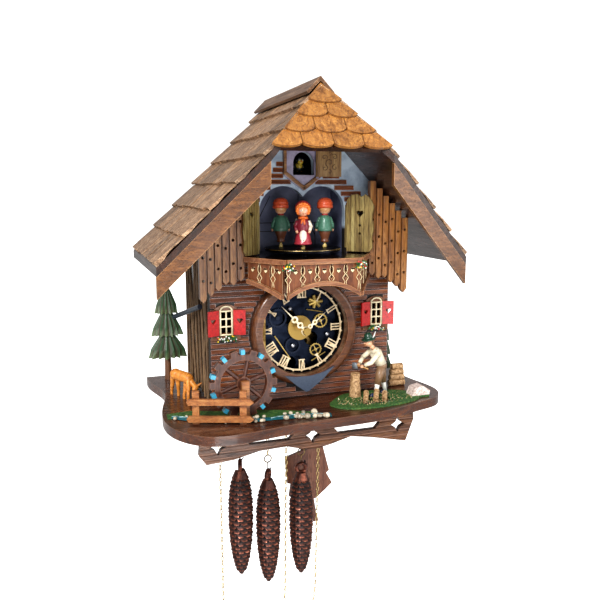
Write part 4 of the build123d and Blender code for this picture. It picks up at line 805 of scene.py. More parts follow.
ROW = SLOPE_LENGTH / SHAKE_ROWS
for side, node in ((-1, "shingles_left"), (1, "shingles_right")):
    bm = toned_bm()
    layer = bm.verts.layers.float["tone"]
    for row in range(SHAKE_ROWS):
        low = SLOPE_LENGTH - row * ROW
        y = -0.0004
        end = front_of(low * math.cos(PITCH)) - 0.004
        while y > end:
            width = random.uniform(*SHAKE_WIDTH)
            far = y - width
            if far < end + SHAKE_LEAST:
                far = end
            tone = random.random()
            tip = low - random.uniform(0.0, 0.0022)
            lift = random.uniform(0.0, 0.0006)
            skirt = FIRST_SKIRT if row == 0 else SHAKE_T
            # A shake starts as a grid, whose lower edge is split ragged.
            shake = bmesh.ops.create_grid(bm, x_segments=SHAKE_COLUMNS, y_segments=4, size=0.5)["verts"]
            ragged = [random.uniform(0.0, RAGGED) for number in range(SHAKE_COLUMNS + 1)]
            cup = random.uniform(-0.0004, 0.0005)
            for vertex in shake:
                across = vertex.co.x + 0.5
                down = vertex.co.y + 0.5
                near = tip - ragged[round(across * SHAKE_COLUMNS)] * (1.0 if down > 0.9 else 0.0)
                along = (low - ROW - 0.003) * (1 - down) + near * down
                up = -0.0034 + 0.0032 * (along - low + ROW) / ROW - lift + cup * (2 * across - 1) ** 2
                vertex.co = (along, y + (far - y + 0.0003) * across, min(up, -0.0001))
                vertex[layer] = tone
            top_faces = list({face for vertex in shake for face in vertex.link_faces})
            grown = bmesh.ops.extrude_face_region(bm, geom=top_faces)["geom"]
            for vertex in grown:
                if isinstance(vertex, bmesh.types.BMVert):
                    vertex.co.z = max(vertex.co.z - (skirt if vertex.co.x > low - ROW * 0.5 else 0.0012),
                                      DEEPEST)
                    vertex[layer] = tone
            y = far
    for vertex in bm.verts:
        along, y, up = vertex.co
        place = slope_place(max(along, 0.002), y, up)
        place.y = max(place.y, front_of(place.x) + 0.0003)
        vertex.co = (place.x * side, place.y, place.z)
    roof_skin = bm_piece(node.replace("shingles", "shakes"), bm, shake_wood, "case",
                         smooth=False)
    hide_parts(node)

# The hip: a triangular board under four rows of round-ended shingles, the lowest with the most.
hip_drop = Vector((0, HIP_FRONT - RIDGE_FRONT, -SLOPE * HIP_HALF))
HIP_LENGTH = hip_drop.length
hip_out = Vector((1, 0, 0)).cross(hip_drop).normalized() * -1
hip_down = hip_drop.normalized()
WIDEN = HIP_HALF / HIP_LENGTH


def hip_place(u, v, w):
    return Vector((u, RIDGE_FRONT, RIDGE_Z)) + hip_down * v + hip_out * w


bm = toned_bm()
board = [bm.verts.new(place) for place in ((-HIP_HALF, HIP_LENGTH, 0), (HIP_HALF, HIP_LENGTH, 0),
                                           (0, 0.001, 0))]
face = bm.faces.new(board)
grown = bmesh.ops.extrude_face_region(bm, geom=[face])["geom"]
bmesh.ops.translate(bm, verts=[one for one in grown if isinstance(one, bmesh.types.BMVert)],
                    vec=(0, 0, -ROOF_BOARD))
bmesh.ops.translate(bm, verts=bm.verts, vec=(0, 0, -SHINGLE_DEPTH))
for vertex in bm.verts:
    vertex.co = hip_place(vertex.co.x, min(vertex.co.y, HIP_LENGTH), vertex.co.z)
bm_piece("hip_board", bm, soffit_dark, "case", smooth=False)

bm = toned_bm()
layer = bm.verts.layers.float["tone"]
for count, low_share, high_share in ((4, 1.0, 0.62), (3, 0.76, 0.40), (2, 0.52, 0.16), (1, 0.30, 0.0)):
    low, high = HIP_LENGTH * low_share, HIP_LENGTH * high_share
    wide = 2 * WIDEN * low
    size = wide / count
    for number in range(count):
        middle = -wide / 2 + size * (number + 0.5)
        tone = random.random()
        ring_verts = []
        half = size / 2 - 0.0003
        round_by = 0.006 if low_share < 1 else 0.0045
        arc = [(middle + half * math.cos(math.pi * step / 12), low - 0.003 + round_by * math.sin(math.pi * step / 12))
               for step in range(13)]
        outline = [(middle + half, high)] + arc + [(middle - half, high)]
        for u, v in outline:
            limit = WIDEN * v
            w = -0.0036 + 0.0035 * (v - high) / (low - high)
            ring_verts.append(bm.verts.new((max(-limit, min(limit, u)), v, min(w, -0.0001))))
        face = bm.faces.new(ring_verts)
        grown = bmesh.ops.extrude_face_region(bm, geom=[face])["geom"]
        for vertex in grown:
            if isinstance(vertex, bmesh.types.BMVert):
                vertex.co.z -= 0.0028 if low_share < 1 else 0.0034
        for vertex in ring_verts + [one for one in grown if isinstance(one, bmesh.types.BMVert)]:
            vertex[layer] = tone
for vertex in bm.verts:
    u, v, w = vertex.co
    vertex.co = hip_place(u, v, max(w, DEEPEST))
bmesh.ops.remove_doubles(bm, verts=bm.verts, dist=0.00002)
hip = bm_piece("hip_shingles", bm, oak_wood, "case", smooth=False)
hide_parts("hip_roof")

# ---------------------------------------------------------------- slatted panels and balcony
# Upright oak slats with drilled holes and pointed feet close the sides of the porch. The balcony is a
# dark board with sawn balusters and hearts, whose raw edges show cream, over a wavy carved strip.
slat_oak = wood("slat_oak", (0.15, 0.052, 0.014), (0.33, 0.135, 0.036), (0.52, 0.25, 0.075), "Z", 1.2,
                0.34, 0.3, (0.08, 0.03, 0.012), 0.0010, bump=0.0004,
                stripes=(0, 0.0079, 0.8, (0.11, 0.042, 0.014)))
baluster_wood = wood("baluster_wood", (0.11, 0.030, 0.010), (0.21, 0.062, 0.020), (0.33, 0.12, 0.04), "Z",
                     1.2, 0.4, 0.2, (0.80, 0.62, 0.36), 0.00075)
trim_carved = wood("trim_carved", (0.16, 0.055, 0.022), (0.30, 0.12, 0.055), (0.42, 0.21, 0.11), "X", 1.4,
                   0.35, 0.25, (0.62, 0.30, 0.12), 0.0012)
rail_brown = wood("rail_brown", (0.10, 0.038, 0.012), (0.20, 0.088, 0.026), (0.34, 0.17, 0.058), "X", 1.2,
                  0.32, 0.3, (0.45, 0.24, 0.12), 0.0010)
for node in ("slat_panel_left", "slat_panel_right"):
    dress(node, slat_oak)
dress("balcony_boards", baluster_wood)
dress("balcony_floor", case_black)
dress("balcony_trim", trim_carved)

# Painted pieces share one finish: the colour is on the mesh, brushed on and a little uneven.
figure_paint, tree, shader, place = new_material("figure_paint")
uneven = noise(tree, place, 500.0, 4, 0.6)
level = spread(tree, uneven, 0.25, 0.75, 0.75, 1.125)
colour = blend_colour(tree, 1.0, attribute(tree, "paint")["Color"], even_colour(tree, level), "MULTIPLY")
tree.links.new(colour, shader.inputs["Base Color"])
tree.links.new(spread(tree, uneven, 0.3, 0.7, 0.43, 0.30), shader.inputs["Roughness"])
shader.inputs["Coat Weight"].default_value = 0.25
relief(tree, shader, uneven, 0.0002)


def paint_bm():
    bm = bmesh.new()
    bm.verts.layers.float_color.new("paint")
    return bm


def tint(bm, verts, colour):
    layer = bm.verts.layers.float_color["paint"]
    for vertex in verts:
        vertex[layer] = (*colour, 1)
    return verts


def blob(bm, centre, radii, colour, detail=2, turn=None):
    """An egg: a rounded lump with a radius along each axis."""
    made = bmesh.ops.create_icosphere(bm, subdivisions=detail, radius=1.0)["verts"]
    if isinstance(radii, (int, float)):
        radii = (radii, radii, radii)
    bmesh.ops.scale(bm, verts=made, vec=radii)
    if turn is not None:
        bmesh.ops.rotate(bm, verts=made, cent=(0, 0, 0), matrix=turn)
    bmesh.ops.translate(bm, verts=made, vec=centre)
    return tint(bm, made, colour)


def limb(bm, start, end, wide, narrow, colour, sides=10):
    """A tapering round limb between two points, closed at both ends."""
    start, end = Vector(start), Vector(end)
    run = end - start
    made = bmesh.ops.create_cone(bm, cap_ends=True, segments=sides, radius1=wide, radius2=narrow,
                                 depth=run.length)["verts"]
    bmesh.ops.rotate(bm, verts=made, cent=(0, 0, 0), matrix=run.to_track_quat("Z", "Y").to_matrix())
    bmesh.ops.translate(bm, verts=made, vec=(start + end) / 2)
    return tint(bm, made, colour)


def turned(bm, profile, colour, centre=(0, 0, 0), steps=24, turn=None):
    """A turned shape: radius and height pairs up an axis, spun round it."""
    part = bmesh.new()
    line = [part.verts.new((radius, 0, height)) for radius, height in profile]
    for low, high in zip(line, line[1:]):
        part.edges.new((low, high))
    bmesh.ops.spin(part, geom=line + list(part.edges), cent=(0, 0, 0), axis=(0, 0, 1), angle=math.tau,
                   steps=steps, use_merge=True)
    bmesh.ops.remove_doubles(part, verts=part.verts, dist=1e-6)
    return add_part(bm, part, colour, centre, turn)


def add_part(bm, part, colour=None, centre=(0, 0, 0), turn=None):
    """Puts a shape made on its own into a piece, turned and moved, and painted if given a colour."""
    if turn is not None:
        bmesh.ops.rotate(part, verts=part.verts, cent=(0, 0, 0), matrix=turn)
    bmesh.ops.translate(part, verts=part.verts, vec=centre)
    mesh = bpy.data.meshes.new("part")
    part.to_mesh(mesh)
    part.free()
    first = len(bm.verts)
    bm.from_mesh(mesh)
    bpy.data.meshes.remove(mesh)
    bm.verts.ensure_lookup_table()
    made = bm.verts[first:]
    return tint(bm, made, colour) if colour else made


def block(bm, centre, size, colour, turn=None):
    """A plain block, turned about its own middle."""
    made = bmesh.ops.create_cube(bm, size=1.0)["verts"]
    bmesh.ops.scale(bm, verts=made, vec=size)
    if turn is not None:
        bmesh.ops.rotate(bm, verts=made, cent=(0, 0, 0), matrix=turn)
    bmesh.ops.translate(bm, verts=made, vec=centre)
    return tint(bm, made, colour)


def place_verts(bm, verts, matrix):
    bmesh.ops.transform(bm, matrix=matrix, verts=verts)


LEAF, WHITE, YELLOW, RED = (0.02, 0.12, 0.03), (0.85, 0.85, 0.80), (0.80, 0.55, 0.03), (0.55, 0.02, 0.02)


def flowers(bm, centre, reach, petals, count):
    """A little spray: leaves under bright round buds."""
    for number in range(count):
        spot = Vector(centre) + Vector((random.uniform(-1, 1) * reach[0], random.uniform(-1, 1) * reach[1],
                                        random.uniform(-1, 1) * reach[2]))
        turn = Matrix.Rotation(random.uniform(0, math.pi), 3, (random.random(), random.random(), 1))
        if number % 2:
            blob(bm, spot, (0.0024, 0.0007, 0.0010), LEAF, 1, turn)
        else:
            blob(bm, spot + Vector((0, -0.0010, 0)), random.uniform(0.0007, 0.0011),
                 random.choice(petals), 1)


# The saw cuts between the balusters, and the heart in each, show raw wood: a pale line and a pale heart.
RAW_WOOD = (0.80, 0.64, 0.38)
bm = paint_bm()


def heart(bm, place, size, colour, turn):
    """A heart cut from thin veneer, flat against a board."""
    outline = []
    for step in range(20):
        angle = math.tau * step / 20
        across = math.sin(angle) ** 3
        curl = 5 * math.cos(2 * angle) + 2 * math.cos(3 * angle) + math.cos(4 * angle)
        up = (13 * math.cos(angle) - curl) / 16
        outline.append(Vector(place) + turn @ Vector((across * size, -0.0002, up * size)))
    leaf = [bm.verts.new(spot) for spot in outline]
    bm.faces.new(leaf)
    tint(bm, leaf, colour)


def saw_cut(bm, place, turn, depth):
    """A wavy pale line running down between two balusters."""
    path = [(0, 0), (0.0009, -0.003), (0.0009, -0.006), (-0.0007, -0.0085), (0.0022, -0.0125),
            (-0.0003, -0.0165), (0.0005, -depth)]
    for side in (-1, 1):
        spots = [Vector(place) + turn @ Vector((side * (across + 0.0010), 0, down)) for across,
                 down in path]
        for start, end in zip(spots, spots[1:]):
            limb(bm, start, end, 0.00032, 0.00032, RAW_WOOD, 6)


STRAIGHT = Matrix.Identity(3)
INLAY_Y, SAW_TOP, HEART_Z, HEART_SIZE = -0.2047, -0.0850, -0.0905, 0.0019
BALUSTER, SLANT_BALUSTER = 0.0154, 0.0178
SLANT = math.atan2(0.046, 0.030)
for number in range(6):
    place = (-2.5 * BALUSTER + BALUSTER * number, INLAY_Y, SAW_TOP)
    saw_cut(bm, place, STRAIGHT, 0.0205 if 0 < number < 5 else 0.0255)
for number in range(5):
    heart(bm, (-2 * BALUSTER + BALUSTER * number, INLAY_Y, HEART_Z), HEART_SIZE, RAW_WOOD, STRAIGHT)
for side in (-1, 1):
    turn = Matrix.Rotation(side * SLANT, 3, "Z")
    corner = Vector((side * 0.0400, -0.2050, 0))
    for number in range(3):
        spot = corner + turn @ Vector((side * (0.0092 + SLANT_BALUSTER * number), -0.0003, 0))
        heart(bm, (spot.x, spot.y, HEART_Z), HEART_SIZE, RAW_WOOD, turn)
        if number:
            spot = corner + turn @ Vector((side * SLANT_BALUSTER * number, -0.0003, 0))
            saw_cut(bm, (spot.x, spot.y, SAW_TOP), turn, 0.0215)
bm_piece("balcony_inlay", bm, figure_paint, "case")

bm = paint_bm()
for side in (-1, 1):
    flowers(bm, (side * 0.0395, -0.2085, -0.0845), (0.0055, 0.0014, 0.0035), (WHITE, WHITE, RED, YELLOW),
            34)
bm_piece("balcony_flowers", bm, figure_paint, "case")

# ---------------------------------------------------------------- the dancers' room and its shutters
# A plywood box painted blue-grey with its planks drawn in black, and two shutters of grooved olive wood.
niche_paint = clouded("niche_paint", 40, [(0.35, (0.085, 0.095, 0.16)), (0.55, (0.145, 0.16, 0.25)),
                                        (0.7, (0.20, 0.215, 0.32))], 0.45, 0.0002, 0.5, fine=300)
dress("niche_box", niche_paint)
bm = paint_bm()
SEAM, SEAM_Y, SEAM_R = (0.006, 0.006, 0.010), -0.0971, 0.00045
for x0, z0, x1, z1 in ((-0.049, -0.046, 0.049, -0.046), (-0.049, -0.0555, -0.006, -0.0555),
                       (0.009, -0.070, 0.010, -0.001), (0.031, -0.078, 0.030, -0.046),
                       (-0.034, -0.012, -0.030, -0.001), (-0.018, -0.046, -0.018, -0.0555),
                       (0.012, -0.024, 0.030, -0.060), (-0.040, -0.046, -0.024, -0.016)):
    limb(bm, (x0, SEAM_Y, z0), (x1, SEAM_Y, z1), SEAM_R, SEAM_R, SEAM, 6)
bm_piece("niche_seams", bm, figure_paint, "case")
olive_grain = wood("olive_grain", (0.13, 0.075, 0.020), (0.36, 0.26, 0.085), (0.56, 0.46, 0.20), "Z", 1.0,
                   0.38, 0.25, (0.10, 0.055, 0.02), 0.0010, bump=0.0004)
dress("dancer_shutters", olive_grain)

# ---------------------------------------------------------------- the cuckoo, its window and its door
# A grey-lilac plate with a brown V moulding frames the window. The oak door, carved with a scroll of
# leaves, stands open on a wire hinge, and a small dark bird with a yellow breast looks out.
lilac_paint = clouded("lilac_paint", 120, [(0.35, (0.20, 0.175, 0.24)), (0.6, (0.34, 0.30, 0.40))], 0.3,
                      coat=0.3)
dress("cuckoo_surround", lilac_paint)
door_oak = wood("door_oak", (0.20, 0.095, 0.030), (0.36, 0.20, 0.070), (0.50, 0.31, 0.12), "Z", 1.5, 0.4,
                0.1, (0.14, 0.07, 0.03), 0.0010)
dress("cuckoo_door", door_oak)
DOOR_PLACE = Matrix.Translation((0.014, -0.1463, 0)) @ Matrix.Rotation(math.radians(170), 4, "Z")
bm = paint_bm()
INK = (0.05, 0.022, 0.008)


def scroll(bm, centre, size, start, turns, hand):
    """A carved curl: a line that winds inwards, laid on the door's face."""
    last = None
    for step in range(13):
        angle = start + hand * turns * math.tau * step / 12
        radius = size * (1 - step / 14)
        spot = (centre[0] + radius * math.cos(angle), 0.00265, centre[1] + radius * math.sin(angle))
        if last:
            limb(bm, last, spot, 0.00032, 0.00032, INK, 5)
        last = spot


for centre, size, start, turns, hand in (((-0.013, 0.0195), 0.0050, -1.2, 1.1, 1),
                                         ((-0.0075, 0.0250), 0.0034, 3.5, 1.0, -1),
                                         ((-0.0185, 0.0255), 0.0036, 0.5, 1.1, 1),
                                         ((-0.0190, 0.0145), 0.0033, 1.5, 1.0, -1),
                                         ((-0.0078, 0.0140), 0.0036, 1.8, 1.1, 1),
                                         ((-0.013, 0.0295), 0.0024, -1.5, 0.9, -1),
                                         ((-0.013, 0.0098), 0.0026, 1.5, 0.9, 1)):
    scroll(bm, centre, size, start, turns, hand)
place_verts(bm, bm.verts, DOOR_PLACE)
bm_piece("door_carving", bm, figure_paint, "cuckoo_door")

bm = toned_bm()
for side in (-1, 1):
    start, end = Vector((side * 0.0213, 0, 0.0088)), Vector((0, 0, -0.0074))
    run = end - start
    made = add_box(bm, (-run.length / 2 - 0.0012, -0.0055, -0.0021),
                   (run.length / 2 + 0.0012, 0.0, 0.0021), 0.0008, 0.4, 2)
    turn = Matrix.Rotation(-math.atan2(run.z, run.x), 4, "Y")
    place_verts(bm, made, Matrix.Translation((start.x / 2, -0.1398, (start.z + end.z) / 2)) @ turn)
    made = add_box(bm, (side * 0.0212 - 0.0016, -0.1450, 0.0075),
                   (side * 0.0212 + 0.0016, -0.1398, 0.0385 if side < 0 else 0.0375), 0.0007, 0.6, 2)
bm_piece("cuckoo_moulding", bm, rail_brown, "case", smooth=False)

DARK_BIRD, YELLOW_BIRD = (0.016, 0.018, 0.016), (0.42, 0.30, 0.03)
bm = paint_bm()
BIRD_Y, BIRD_Z = -0.1385, 0.016
blob(bm, (0, BIRD_Y + 0.0155, BIRD_Z), (0.0052, 0.0082, 0.0056), DARK_BIRD, 3,
     Matrix.Rotation(math.radians(18), 3, "X"))
blob(bm, (0, BIRD_Y + 0.0118, BIRD_Z + 0.0006), (0.0040, 0.0050, 0.0046), YELLOW_BIRD, 3)
blob(bm, (0, BIRD_Y + 0.0085, BIRD_Z + 0.0058), (0.0042, 0.0044, 0.0041), DARK_BIRD, 3)
blob(bm, (0, BIRD_Y + 0.0066, BIRD_Z + 0.0050), (0.0033, 0.0034, 0.0030), YELLOW_BIRD, 3)
limb(bm, (0, BIRD_Y + 0.0042, BIRD_Z + 0.0054), (0, BIRD_Y + 0.0002, BIRD_Z + 0.0047), 0.0013, 0.0002,
     (0.45, 0.10, 0.01), 8)
for side in (-1, 1):
    blob(bm, (side * 0.0021, BIRD_Y + 0.0042, BIRD_Z + 0.0068), 0.00075, (0.8, 0.8, 0.75), 2)
    blob(bm, (side * 0.0022, BIRD_Y + 0.0036, BIRD_Z + 0.0068), 0.00042, (0.004, 0.004, 0.004), 2)
    blob(bm, (side * 0.0049, BIRD_Y + 0.0170, BIRD_Z + 0.0008), (0.0012, 0.0076, 0.0036),
         (0.028, 0.030, 0.022), 2, Matrix.Rotation(math.radians(14), 3, "X"))
    for claw in (-1, 0, 1):
        limb(bm, (side * 0.0022, BIRD_Y + 0.0120, BIRD_Z - 0.0047),
             (side * 0.0022 + claw * 0.0010, BIRD_Y + 0.0096, BIRD_Z - 0.0052), 0.00028, 0.00020,
             (0.35, 0.16, 0.02), 6)
blob(bm, (0, BIRD_Y + 0.0260, BIRD_Z - 0.0008), (0.0026, 0.0062, 0.0009), DARK_BIRD, 2,
     Matrix.Rotation(math.radians(-22), 3, "X"))
limb(bm, (0, BIRD_Y + 0.015, BIRD_Z - 0.003), (0, BIRD_Y + 0.045, BIRD_Z - 0.002), 0.0008, 0.0008,
     (0.30, 0.22, 0.08), 8)
bird = bm_piece("bird", bm, figure_paint, "cuckoo")
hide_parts("cuckoo")

# ---------------------------------------------------------------- carousel and dancers
# Four little turned and hand-painted figures on brass pins, set round a black disc with a brass rim:
# boys in knitted caps and green jackets, girls in red bonnets, shawls and dotted aprons.
DISC_TOP = -0.071
DANCER_R = 0.024
TURNED_BY = -19
SKIN, BRASS_PAINT = (0.72, 0.40, 0.24), (0.62, 0.46, 0.16)
BOY_CAP, BOY_COAT, BOY_LEGS = (0.62, 0.10, 0.035), (0.075, 0.20, 0.135), (0.17, 0.060, 0.028)
GIRL_SKIRT, GIRL_SHAWL, GIRL_HAIR, GIRL_HOOD = (0.40, 0.035, 0.055), (0.22, 0.020,
                                                                      0.035), (0.75, 0.20, 0.03), (0.50,
                                                                          0.03, 0.025)


def pin(bm):
    turned(bm, [(0, 0), (0.0021, 0.0), (0.0024, 0.0010), (0.0021, 0.0030), (0.0011, 0.0041),
                (0.0015, 0.0052), (0.0, 0.0064)], BRASS_PAINT)


def face(bm, height, radius, forward=0.0):
    """Small painted eyes, a dot of a nose, rosy cheeks and a mouth."""
    def spot(across, up, lift=0.0):
        depth = math.sqrt(max(radius ** 2 - across ** 2 - up ** 2, 0))
        return (across, forward - depth - lift, height + up)
    for side in (-1, 1):
        blob(bm, spot(side * 0.0021, 0.0007), (0.00085, 0.0004, 0.00085), (0.85, 0.82, 0.78), 2)
        blob(bm, spot(side * 0.0020, 0.0007, 0.0002), 0.00048, (0.02, 0.012, 0.01), 2)
        blob(bm, spot(side * 0.0031, -0.0014), (0.0011, 0.0004, 0.0009), (0.70, 0.22, 0.14), 2)
        limb(bm, spot(side * 0.0013, 0.0021), spot(side * 0.0028, 0.0022), 0.0002, 0.00015,
             (0.12, 0.04, 0.015), 5)
    blob(bm, spot(0, -0.0006), (0.0006, 0.0007, 0.0006), (0.70, 0.34, 0.20), 2)
    blob(bm, spot(0, -0.0026), (0.0010, 0.00035, 0.00035), (0.45, 0.04, 0.03), 2)


def boy(bm):
    pin(bm)
    turned(bm, [(0, 0.0056), (0.0034, 0.0056), (0.0044, 0.0063), (0.0047, 0.0072), (0.0039, 0.0080),
                (0.0042, 0.0098), (0.0054, 0.0135), (0.0067, 0.0175), (0.0068, 0.0192), (0, 0.0196)],
           BOY_LEGS)
    turned(bm, [(0, 0.0182), (0.0079, 0.0179), (0.0084, 0.0186), (0.0080, 0.0215), (0.0073, 0.0262),
                (0.0066, 0.0306), (0.0052, 0.0338), (0.0026, 0.0354), (0, 0.0356)], BOY_COAT)
    turned(bm, [(0, 0.0348), (0.0034, 0.0348), (0.0036, 0.0356), (0.0027, 0.0366), (0, 0.0368)],
           (0.35, 0.03, 0.03), steps=16)
    blob(bm, (0, 0, 0.0418), (0.0063, 0.0063, 0.0062), SKIN, 3)
    blob(bm, (0, 0.0014, 0.0424), (0.0063, 0.0054, 0.0056), (0.55, 0.28, 0.12), 3)
    tilt = Matrix.Rotation(math.radians(8), 4, "X")
    made = turned(bm, [(0.0066, -0.0012), (0.0082, -0.0007), (0.0088, 0.0006), (0.0086, 0.0026),
                       (0.0081, 0.0033), (0.0085, 0.0042), (0.0086, 0.0055), (0.0076, 0.0063),
                       (0.0077, 0.0073), (0.0064, 0.0088), (0.0040, 0.0103), (0, 0.0109)], BOY_CAP)
    place_verts(bm, made, Matrix.Translation((0, 0.0004, 0.0430)) @ tilt)
    for side in (-1, 1):
        limb(bm, (side * 0.0058, 0, 0.0312), (side * 0.0083, -0.0002, 0.0252), 0.0020, 0.0020, BOY_COAT)
        limb(bm, (side * 0.0083, -0.0002, 0.0254), (side * 0.0089, -0.0020, 0.0206), 0.0021, 0.0018,
             BOY_COAT)
        blob(bm, (side * 0.0083, -0.0001, 0.0253), 0.0021, BOY_COAT, 2)
        blob(bm, (side * 0.0058, 0, 0.0312), 0.0021, BOY_COAT, 2)
        blob(bm, (side * 0.0089, -0.0024, 0.0192), (0.0016, 0.0018, 0.0021), SKIN, 2)
    for number in range(3):
        blob(bm, (0, -0.0074 + 0.0006 * number, 0.0226 + 0.0038 * number), 0.0005, BRASS_PAINT, 1)
    face(bm, 0.0410, 0.0063)


def girl(bm):
    pin(bm)
    turned(bm, [(0, 0.0052), (0.0080, 0.0048), (0.0094, 0.0054), (0.0096, 0.0066), (0.0088, 0.0078),
                (0.0086, 0.0092), (0.0080, 0.0122), (0.0068, 0.0162), (0.0058, 0.0192), (0, 0.0198)],
           GIRL_SKIRT)
    turned(bm, [(0, 0.0186), (0.0062, 0.0186), (0.0066, 0.0205), (0.0068, 0.0240), (0.0064, 0.0275),
                (0.0056, 0.0305), (0.0034, 0.0330), (0, 0.0336)], GIRL_SHAWL)
    blob(bm, (0, -0.0052, 0.0140), (0.0040, 0.0036, 0.0082), (0.82, 0.74, 0.62), 3,
         Matrix.Rotation(math.radians(-12), 3, "X"))
    for number in range(3):
        blob(bm, (0.0004 - 0.0008 * number, -0.0089 + 0.0007 * number, 0.0098 + 0.0036 * number), 0.00055,
             (0.08, 0.03, 0.03), 1)
    turned(bm, [(0, 0.0318), (0.0048, 0.0316), (0.0056, 0.0328), (0.0046, 0.0342), (0, 0.0346)],
           (0.72, 0.16, 0.03), steps=18)
    limb(bm, (0.0006, -0.0050, 0.0322), (0.0016, -0.0072, 0.0262), 0.0014, 0.0009, (0.72, 0.16, 0.03))
    limb(bm, (-0.0006, -0.0050, 0.0322), (-0.0020, -0.0070, 0.0272), 0.0013, 0.0008, (0.72, 0.16, 0.03))
    blob(bm, (0, 0.0016, 0.0424), (0.0085, 0.0078, 0.0083), GIRL_HOOD, 3)
    blob(bm, (0, -0.0014, 0.0405), (0.0062, 0.0062, 0.0062), SKIN, 3)
    for step in range(12):
        angle = math.radians(-32 + step * 244 / 11)
        blob(bm, (0.0063 * math.cos(angle), -0.0042, 0.0412 + 0.0062 * math.sin(angle)),
             (0.0019, 0.0020, 0.0019), GIRL_HAIR, 2)
    for step in range(5):
        blob(bm, (-0.0036 + 0.0018 * step, -0.0063, 0.0454 - 0.0004 * abs(step - 2)),
             (0.0013, 0.0011, 0.0015), GIRL_HAIR, 2)
    for side in (-1, 1):
        colour = (0.78, 0.68, 0.55) if side > 0 else GIRL_SHAWL
        limb(bm, (side * 0.0056, 0, 0.0296), (side * 0.0082, -0.0010, 0.0240), 0.0021, 0.0020, colour)
        limb(bm, (side * 0.0082, -0.0010, 0.0242), (side * 0.0070, -0.0042, 0.0196), 0.0020, 0.0016, colour)
        blob(bm, (side * 0.0082, -0.0010, 0.0241), 0.0021, colour, 2)
        blob(bm, (side * 0.0066, -0.0052, 0.0186), (0.0016, 0.0016, 0.0018), SKIN, 2)
    face(bm, 0.0398, 0.0062, -0.0014)


for number, (name, make, slot) in enumerate((("dancer_girl_front", girl, "dancer_girl"),
                                             ("dancer_boy_right", boy, "dancer_boy"),
                                             ("dancer_girl_back", girl, "dancer_girl"),
                                             ("dancer_boy_left", boy, "dancer_boy"))):
    bm = paint_bm()
    make(bm)
    angle = math.radians(-90 + TURNED_BY + number * 90)
    spot = (DANCER_R * math.cos(angle), FACADE + DANCER_R * math.sin(angle), DISC_TOP)
    facing = math.radians(168) if make is boy else angle + math.pi / 2
    place_verts(bm, bm.verts, Matrix.Translation(spot) @ Matrix.Rotation(facing, 4, "Z"))
    dancer = bm_piece(name.replace("dancer", "figure"), bm, figure_paint, "carousel")
    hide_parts(name)

disc_black = metal("disc_black", (0.006, 0.006, 0.008), (0.020, 0.020, 0.026), 0.30, 40)
dress("carousel_disc", disc_black)
bm = bmesh.new()
flat_ring(bm, 0.0409, 0.0005, 8, 72)
bmesh.ops.translate(bm, verts=bm.verts, vec=(0, FACADE, DISC_TOP - 0.0008))
bm_piece("disc_rim", bm, chain_brass, "carousel")

# ---------------------------------------------------------------- dial: ring, numerals, hands and movement
# A turned red-brown ring holds an open dial. Cream numerals and hands stand over the blue-black plates
# and brass wheels of the movement, and a glossy notched bar closes the ring at the bottom.
ring_wood = wood("ring_wood", (0.075, 0.022, 0.008), (0.15, 0.050, 0.016), (0.25, 0.095, 0.030), "X", 1.3,
                 0.3, 0.35, (0.32, 0.12, 0.06), 0.0012)
dress("dial_ring", ring_wood)
dial_cream = clouded("dial_cream", 260, [(0.3, (0.46, 0.33, 0.18)), (0.5, (0.72, 0.57, 0.36)),
                                        (0.7, (0.82, 0.70, 0.50))], 0.35, 0.0001, 0.4)
dress("chapter_ring", dial_cream)

# The hands are cream; the nut in front of them and the pipe and wheel behind them are brass.
material, tree, shader, place = new_material("hand_paint")
whole = axes(tree, place)
worn = noise(tree, place, 260, 4, 0.6)
cream = ramp(tree, worn, [(0.3, (0.60, 0.46, 0.28)), (0.5, (0.86, 0.74, 0.52)), (0.7, (0.92, 0.84, 0.66))])
behind = calc(tree, "GREATER_THAN", whole["Y"], -0.1484)
before = calc(tree, "LESS_THAN", whole["Y"], -0.1516)
brass_part = calc(tree, "MAXIMUM", behind, before)
tree.links.new(blend_colour(tree, brass_part, cream, (0.42, 0.28, 0.09)), shader.inputs["Base Color"])
tree.links.new(brass_part, shader.inputs["Metallic"])
shader.inputs["Roughness"].default_value = 0.3
for node in ("minute_hand", "hour_hand"):
    dress(node, material)
plate_blue = metal("plate_blue", (0.004, 0.005, 0.009), (0.018, 0.024, 0.042), 0.25, 60)
dress("movement_plates", plate_blue)
train_brass = metal("train_brass", (0.16, 0.10, 0.035), (0.46, 0.32, 0.12), 0.32, 90)
dress("going_train", train_brass)


